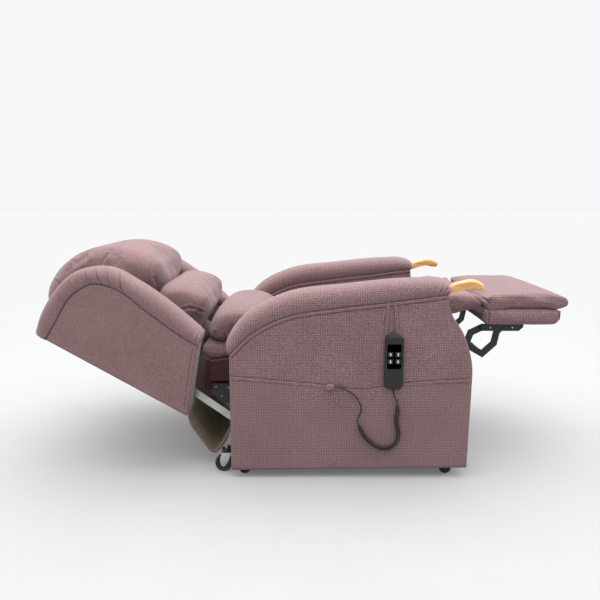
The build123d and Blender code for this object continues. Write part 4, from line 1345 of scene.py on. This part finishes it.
@dataclass
class Pillows:
    """Head, middle and lumbar pillows, seat cushion, leg flap and footrest."""

    palette: Palette

    def build(self) -> None:
        """Blow up and sew each cushion."""
        for pad, body, node, cloth in self.listed():
            made = keep(pad.build(cloth), body, "upholstery", node)
        self.trims()

    def listed(self) -> list[tuple[Padded, str, str, bpy.types.Material]]:
        """Every cushion with its body, node and cloth."""
        mauve, turned = self.palette.cloth, self.palette.back_cloth
        side = SEAT_HALF
        head = Padded("head_pillow",
                      ((602, 30), (619, 66), (624, 113), (612, 179), (576, 248), (530, 294), (477, 326),
                       (420, 348), (364, 358), (320, 350), (297, 320), (291, 260), (297, 150),
                       (420, 151), (550, 150), (552, 80), (550, 14), (580, 12)), -side, side, back_point,
                      edge=86.0, taper=0.30, start_inset=11.0, cap=18.0,
                      creases=self.tucks(back_point, side, (
                          ((582, 196), (556, 176), 4.5, 3.8), ((556, 258), (536, 230), 5.0, 3.8),
                          ((490, 290), (488, 256), 6.0, 3.8), ((596, 130), (570, 124), 4.0, 3.8),
                          ((446, 300), (451, 266), 3.0, 4.2), ((424, 352), (356, 346), 2.0, 5.5),
                          ((356, 346), (321, 296), 3.0, 5.0), ((321, 296), (302, 270), 3.0, 5.0))))
        middle = Padded("middle_pillow",
                        ((292, 294), (255, 322), (207, 339), (157, 345), (127, 333), (117, 306),
                         (116, 240), (117, 152), (200, 151), (290, 152), (293, 230)), -side, side,
                        back_point, edge=74.0, taper=0.32, start_inset=11.0, cap=18.0,
                        creases=self.tucks(back_point, side, (
                            ((197, 250), (173, 274), 5.0, 3.8), ((173, 274), (145, 280), 6.0, 3.8),
                            ((145, 280), (119, 272), 6.0, 3.8), ((119, 272), (106, 254), 5.0, 3.8))))
        lumbar = Padded("lumbar_pillow",
                        ((-322, 412), (-305, 468), (-264, 506), (-190, 517), (-114, 500), (-64, 458),
                         (-84, 430), (-190, 408), (-312, 404)), -side, side, side_point, edge=62.0,
                        taper=0.30, start_inset=9.0, cap=16.0,
                        creases=self.tucks(side_point, side, (
                            ((-283, 438), (-284, 408), 7.0, 3.6), ((-250, 430), (-244, 410), 3.0, 4.0),
                            ((-306, 470), (-262, 505), 2.5, 6.0))))
        seat = Padded("seat_pillow",
                      ((-334, 397), (-262, 400), (-190, 401), (-84, 414), (40, 428), (120, 450),
                       (230, 496), (300, 518), (370, 530), (434, 514), (437, 441), (250, 419),
                       (70, 393), (-110, 366), (-230, 346), (-312, 344), (-341, 372)), -side, side,
                      side_point, edge=20.0, start_inset=5.0, voxel=8.0, cap=16.0, pressure=3.0)
        flap = Padded("leg_flap_pad", ((456, 550), (491, 563), (545, 559), (601, 549), (602, 528),
                                       (545, 510), (495, 496), (462, 494)), -side, side, side_point,
                      edge=14.0, start_inset=3.0, voxel=6.0, cap=8.0,
                      creases=self.tucks(side_point, side, (((560, 566), (597, 533), 4.0, 4.0),)))
        pad = Padded("footrest_cushion",
                     ((604, 551), (603, 536), (604, 520), (700, 519.5), (790, 519.5), (862, 519),
                      (875, 526), (878, 540), (870, 553), (848, 560), (770, 563), (713, 564),
                      (650, 561)), -250, 250, side_point, edge=7.0, start_inset=1.5, voxel=5.0, cap=7.0,
                     pressure=2.0,
                     creases=self.tucks(side_point, 250.0, (((606, 547), (618, 534), 5.0, 3.2),
                                                            ((618, 549), (626, 537), 3.0, 3.0))))
        box = Padded("footrest_case", ((604, 466), (700, 465), (770, 465), (831, 466), (843, 471),
                                       (853, 492), (853.5, 515), (790, 517), (700, 517), (604, 517),
                                       (603.5, 492)), -250, 250, side_point, edge=6.0, start_inset=1.0,
                     voxel=5.0, cap=3.0, pressure=1.0, rounding=False)
        return [(head, "back", "head_cushion", turned), (middle, "back", "mid_cushion", turned),
                (lumbar, "lumbar", "lumbar_cushion", mauve), (seat, "chassis", "seat_cushion", mauve),
                (flap, "legrest", "leg_flap", mauve), (pad, "legrest", "footrest_pad", mauve),
                (box, "legrest", "footrest_box", mauve)]

    @staticmethod
    def tucks(place: Placer, half: float,
              lines: Sequence[tuple[Point, Point, float, float]]) -> list[Crease]:
        """Tucks and seams on both ends of a pillow.

        Args:
            place: how side points are placed.
            half: half the pillow's width.
            lines: start, end, depth and width of each.

        Returns:
            Creases for both ends.
        """
        return [Crease(place(start, side.value * (half - 8)), place(end, side.value * (half - 8)),
                       depth, width, belt=46.0)
                for side in SIDES for start, end, depth, width in lines]

    def trims(self) -> None:
        """Mark the footrest case's seams near the knee and along its nose with dark strips of painted
        shade.
        """
        for side in SIDES:
            for count, (x, low, high) in enumerate(((617.0, 468, 515), (846.0, 482, 514))):
                line = np.array([(x, z) for z in np.linspace(low, high, 20)])
                # painted shade: a dark strip stands for the seam's shaded valley
                keep(flat_strip(f"footrest_seam_{side.word}_{count + 1}", line, side.value * 249.8, 1.8,
                                1.0, side_point, self.palette.seam), "legrest", "upholstery")


@dataclass
class Pocket:
    """The flat pocket that hangs on the right side, with a stitched hem."""

    palette: Palette
    hem: Sequence[Point] = ((-214, 334), (103, 303), (181, 292), (311, 311), (526, 327))
    foot: Sequence[Point] = ((-214, 28), (526, 36))
    across: int = 120
    down: int = 40

    def build(self) -> None:
        """Make the sheet, the hem's fold and its stitches."""
        top = smooth_path(self.hem, self.across)
        points = []
        for i, edge in enumerate(top):
            t = i / (self.across - 1)
            low = self.foot[0][1] + (self.foot[1][1] - self.foot[0][1]) * t
            for j in range(self.down):
                s = j / (self.down - 1)
                sag = math.sin(math.pi * t) * math.exp(-((1 - s) * 3.2) ** 2)
                ripple = 0.5 * math.sin(9.0 * t + 2.5 * s) * math.sin(math.pi * t)
                y = -(OUTER + 0.9 + 1.3 * sag + 0.35 * ripple * s)
                points.append(side_point((edge[0], low + (edge[1] - low) * s), y))
        sheet = mesh_piece("side_pocket_cloth", points, grid_faces(self.across, self.down),
                           self.palette.cloth)
        thick = sheet.modifiers.new("cloth", "SOLIDIFY")
        thick.thickness, thick.offset = 0.0014, 0.0
        bake_modifiers(sheet)
        keep(sheet, "chassis", "pocket", "side_pocket")
        hem = flat_strip("pocket_hem", top - np.array([0.0, 5.0]), -(OUTER + 2.0), 10.0, 1.3, side_point,
                         self.palette.cloth)
        keep(hem, "chassis", "pocket")
        # painted shade: a dark strip just above the hem stands for the shadow inside the pocket's mouth
        mouth = flat_strip("pocket_mouth_shade", top + np.array([0.0, 1.6]), -(OUTER + 1.0), 2.6, 0.9,
                           side_point, self.palette.seam)
        keep(mouth, "chassis", "pocket")
        tree = row_tree(Repeat.STITCH, self.palette.thread)
        row = [[side_point((x, z - 11.0), -(OUTER + 2.6)) for x, z in top]]
        keep(row_along("pocket_stitches", row, tree, 6.0, 4.4, 1.0), "chassis", "pocket")
        loop = np.array([(80, 296), (84, 293), (100, 293), (106, 297), (107, 303), (104, 309), (96, 311),
                         (84, 310), (80, 306)], float)
        keeper = Padded("cord_keeper", loop, -(OUTER + 15.2), -(OUTER + 0.6), edge=6.0, start_inset=0.3,
                        voxel=1.5, pressure=0.0).build(self.palette.cloth)
        keep(keeper, "chassis", "pocket", "cord_grommet")


@dataclass
class RearDrape:
    """The end of the cover that hangs behind the seat, mauve outside and khaki inside."""

    palette: Palette
    section: Sequence[Point] = ((-356, 203), (-365, 172), (-329, 90), (-283, 41), (-250, 76), (-232, 120))
    half: float = 288.0
    across: int = 90
    along: int = 60

    def build(self) -> None:
        """Make the sheet with a rolled hem at its front edge."""
        track = smooth_path(self.section, self.along)
        run = unit(np.gradient(track, axis=0))
        points = []
        for i in range(self.across):
            t = i / (self.across - 1)
            y = -self.half + 2 * self.half * t
            for j in range(self.along):
                s = j / (self.along - 1)
                edge = min(t, 1 - t) * 2 * self.half
                wave = 2.6 * math.sin(19 * t + 3 * s) + 1.4 * math.sin(41 * t - 5 * s)
                wave *= math.sin(math.pi * s)
                wave += 5.0 * math.exp(-((edge - 9.0) / 7.0) ** 2) * math.sin(math.pi * s) ** 0.5
                x = track[j][0] - run[j][1] * wave
                z = track[j][1] + run[j][0] * wave
                points.append(side_point((x, z), y))
        sheet = mesh_piece("rear_drape", points, grid_faces(self.across, self.along), self.palette.cloth)
        sheet.data.materials.append(self.palette.lining)
        thick = sheet.modifiers.new("cloth", "SOLIDIFY")
        thick.thickness, thick.offset, thick.material_offset = 0.0075, 0.0, 1
        folded = sheet.vertex_groups.new(name="hem")
        for vertex in sheet.data.vertices:
            folded.add([vertex.index], 1.0 if self.turned_in(vertex.co) else 0.24, "REPLACE")
        thick.vertex_group = "hem"
        bake_modifiers(sheet)
        for face in sheet.data.polygons:
            if self.turned_in(face.center):
                face.material_index = 0
        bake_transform(sheet)
        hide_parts("rear_skirt")
        LOG.info("rear_drape: %d faces", len(sheet.data.polygons))

    def turned_in(self, place: Vector) -> bool:
        """Whether a point lies in the hem, where the mauve outside is turned in."""
        front = self.section[-1][1] - 16.0
        return abs(place.y) > (self.half - 11.0) * MM or (place.z > front * MM and place.x > -0.26)


@dataclass
class RollingGear:
    """Rear casters and the small wheels of the base."""

    palette: Palette
    caster: Point = (-247.0, 28.0)
    caster_y: float = 332.0
    caster_radius: float = 28.0
    wheel_radius: float = 19.0
    tyre_half: float = 9.0
    bore: float = 4.3
    wheel_y: float = 348.0
    wheel_xs: Sequence[tuple[str, float]] = (("rear", -178.0), ("front", 467.0))

    def build(self) -> None:
        """Make tyres, hubs and the casters' cover plates."""
        for side in SIDES:
            y = side.value * self.caster_y
            self.tyre(f"caster_tyre_{side.word}", self.caster_radius, self.caster, y,
                      f"caster_wheel_{side.word}")
            self.cover(side)
            for end, x in self.wheel_xs:
                self.tyre(f"small_tyre_{end}_{side.word}", self.wheel_radius, (x, self.wheel_radius),
                          side.value * self.wheel_y, f"wheel_{end}_{side.word}")

    def tyre(self, name: str, radius: float, centre: Point, y: float, body: str) -> None:
        """Turn one wheel: a rounded tread, a recessed side and a raised hub round its bore.

        Args:
            name: the piece's name.
            radius: outside of the tread.
            centre: the axle in the side view.
            y: middle of the wheel.
            body: the body that it rides on, which has the name of the node that it stands for.
        """
        bore, half = self.bore, self.tyre_half
        side = [(bore, half - 0.6), (bore + 3.5, half - 0.6), (bore + 4.0, half - 2.4),
                (radius - 7.5, half - 2.8), (radius - 6.5, half - 1.0), (radius - 3.4, half),
                (radius - 1.0, half - 2.2), (radius, half - 5.0)]
        profile = side + [(r, -along) for r, along in reversed(side)]
        wheel = lathe(name, profile, centre, self.palette.tyre, y)
        keep(wheel, body, "wheel_tread", body)

    def cover(self, side: Side) -> None:
        """Bolt the pale triangular cover plate on the outer cheek of a caster."""
        outline = smooth_path([(-252, 58), (-226, 56), (-229, 44), (-243, 24), (-251, 24), (-257, 34)], 60,
                              closed=True)
        low, high = sorted((side.value * (self.caster_y + 13.6), side.value * (self.caster_y + 15.2)))
        plate = BoardSkin(f"caster_cheek_{side.word}", outline, low, high, radius=0.7,
                          crown=0).build(self.palette.zinc)
        keep(plate, f"caster_fork_{side.word}", "zinc")


@dataclass
class Handset:
    """The remote: a textured shell, four keys with arrows, a clip and a two-strand hanger."""

    palette: Palette
    middle: float = 286.5
    half: float = 29.5
    low: float = 297.0
    high: float = 463.0
    back: float = -388.5
    face: float = -400.5
    corner: float = 16.0
    print_planes: Point = (-402.05, -402.25)     # just off the keys, so that they clear the shell

    def build(self) -> None:
        """Make the shell, its engraved line, the marks on the keys and the strap."""
        shell = BoardSkin("handset_case", self.rounded(), self.face, self.back,
                          radius=3.6, crown=0.0).build(self.palette.shell)
        keep(shell, "chassis", "handset_shell", "handset_body")
        lug = BoardSkin("handset_lug", np.array([(272, 461), (297, 461), (296, 470), (290, 474), (279, 474),
                                                 (273, 470)], float), self.face + 2.0, self.back + 1.0,
                        radius=1.2, crown=0.0).build(self.palette.hub)
        keep(lug, "chassis", "handset_shell", "handset_clip")
        line = np.array([(x, 341.0) for x in np.linspace(self.middle - 23, self.middle + 23, 24)])
        keep(flat_strip("handset_ridge", line, self.face - 0.1, 1.6, 0.5, side_point, self.palette.panel),
             "chassis", "handset_shell")
        for name, at, turn in (("button_back_up", (275, 407), 0), ("button_legs_up", (298, 407), 0),
                               ("button_back_down", (275, 385), 180),
                               ("button_legs_down", (298, 385), 180)):
            self.mark(name, at, turn)
        self.strap()

    def rounded(self) -> np.ndarray:
        """The shell's outline, a rectangle with round corners, in the side view."""
        loop, corner = [], self.corner
        for sx, sz, start in ((1, 1, 0), (-1, 1, 90), (-1, -1, 180), (1, -1, 270)):
            cx = self.middle + sx * (self.half - corner)
            cz = (self.high - corner) if sz > 0 else (self.low + corner)
            for k in range(12):
                angle = math.radians(start + 90 * k / 11)
                loop.append((cx + corner * math.cos(angle), cz + corner * math.sin(angle)))
        return np.array(loop)

    def mark(self, body: str, at: Point, turn: float) -> None:
        """Print an arrow on a key.

        Args:
            body: the key's body.
            at: the key's middle.
            turn: degrees that the arrow is turned by.
        """
        arrow = [(0, 5), (3.6, 0.8), (1.2, 0.8), (1.2, -4.6), (-1.2, -4.6), (-1.2, 0.8), (-3.6, 0.8)]
        c, s = math.cos(math.radians(turn)), math.sin(math.radians(turn))
        ring = [(at[0] + c * x - s * z, at[1] + s * x + c * z) for x, z in arrow]
        rings = [[side_point(p, y) for p in ring] for y in self.print_planes]
        keep(loft(f"{body}_mark", rings, self.palette.marks), body, "handset_panel")

    def strap(self) -> None:
        """Two strands of webbing from under the arm roll to the clip."""
        rings_for = ((268.0, 262.0), (286.0, 294.0))
        made = []
        for count, (top, low) in enumerate(rings_for):
            track = smooth_path(((top, 566), ((top + low) / 2 + (2 if count else -1), 515), (low, 464)), 50)
            made.append(flat_strip(f"hanger_strand_{count + 1}", track, -(OUTER + 3.0), 9.5, 2.4,
                                   side_point, self.palette.cloth))
        keep(made[0], "chassis", "strap", "handset_strap")
        keep(made[1], "chassis", "strap")


@dataclass
class Hardware:
    """Finishes for the steel, motors and plastics that keep their own shape."""

    palette: Palette
    rivets: Sequence[Point] = ((-280, 255), (-238, 252), (-262, 222))
    studs: Sequence[Point] = ((627.0, 454.0), (700.0, 454.0))

    def build(self) -> None:
        """Dress the kept parts and press rivet heads on the hinge plates."""
        steel, zinc, case = self.palette.black_steel, self.palette.zinc, self.palette.motor_case
        finishes = (
            (steel, ("base_frame", "lift_arms", "chassis_frame", "leg_link_front", "leg_link_rear",
                     "footrest_bracket_right", "footrest_bracket_left", "hinge_plate_right",
                     "hinge_plate_left")),
            (zinc, ("back_rail_right", "back_rail_left", "caster_fork_right", "caster_fork_left")),
            (case, ("lift_motor", "power_box", "control_box")), (self.palette.chrome, ("lift_rod",)),
            # the seat platform takes the deck cloth, whose maroon is painted shade
            (self.palette.deck, ("seat_platform",)), (self.palette.shell, ("handset_face",)),
            (self.palette.cord, ("handset_gland",)),
            (self.palette.keys, ("button_back_up", "button_legs_up", "button_back_down",
                                 "button_legs_down")))
        for finish, nodes in finishes:
            for node in nodes:
                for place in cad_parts[node].material_slots:
                    place.material = finish
        tree = row_tree(Repeat.RIVET, zinc)
        heads = self.dots(self.rivets, 239.6)
        keep(row_along("plate_rivet_heads", heads, tree, 50.0, 10.0, 10.0), "chassis", "rivet",
             "frame_rivets")
        studs = self.dots(self.studs, 231.2)
        keep(row_along("bracket_rivets", studs, tree, 50.0, 8.0, 8.0), "legrest", "zinc")
        # painted shade: dark maroon cloth on the seat box's sides stands for the shade beneath the seat
        for side in SIDES:
            low, high = sorted((side.value * 226.0, side.value * 229.0))
            lining = np.array([(-318, 238), (-152, 238), (-152, 344), (-318, 344)], float)
            cloth = BoardSkin(f"seat_box_cloth_{side.word}", lining, low, high, radius=1.2, crown=0.0)
            keep(cloth.build(self.palette.deck), "chassis", "deck")

    @staticmethod
    def dots(places: Sequence[Point], y: float) -> list[list[Point3]]:
        """A very short line at each place on both sides, so that a row sets one shape there."""
        return [[side_point(p, side.value * y), side_point((p[0] + 0.01, p[1]), side.value * y)]
                for side in SIDES for p in places]


def main() -> None:
    """Build the chair's looks in order."""
    logging.basicConfig(level=logging.INFO, format="%(name)s: %(message)s")
    palette = Palette()
    Studio().build()
    HandsetCord().build(palette)
    for side in SIDES:
        Arm(side, palette).build()
        Wing(side, palette).build()
    BackBoards(palette).build()
    Pillows(palette).build()
    Pocket(palette).build()
    RearDrape(palette).build()
    RollingGear(palette).build()
    Handset(palette).build()
    Hardware(palette).build()


if __name__ == "__main__":
    main()
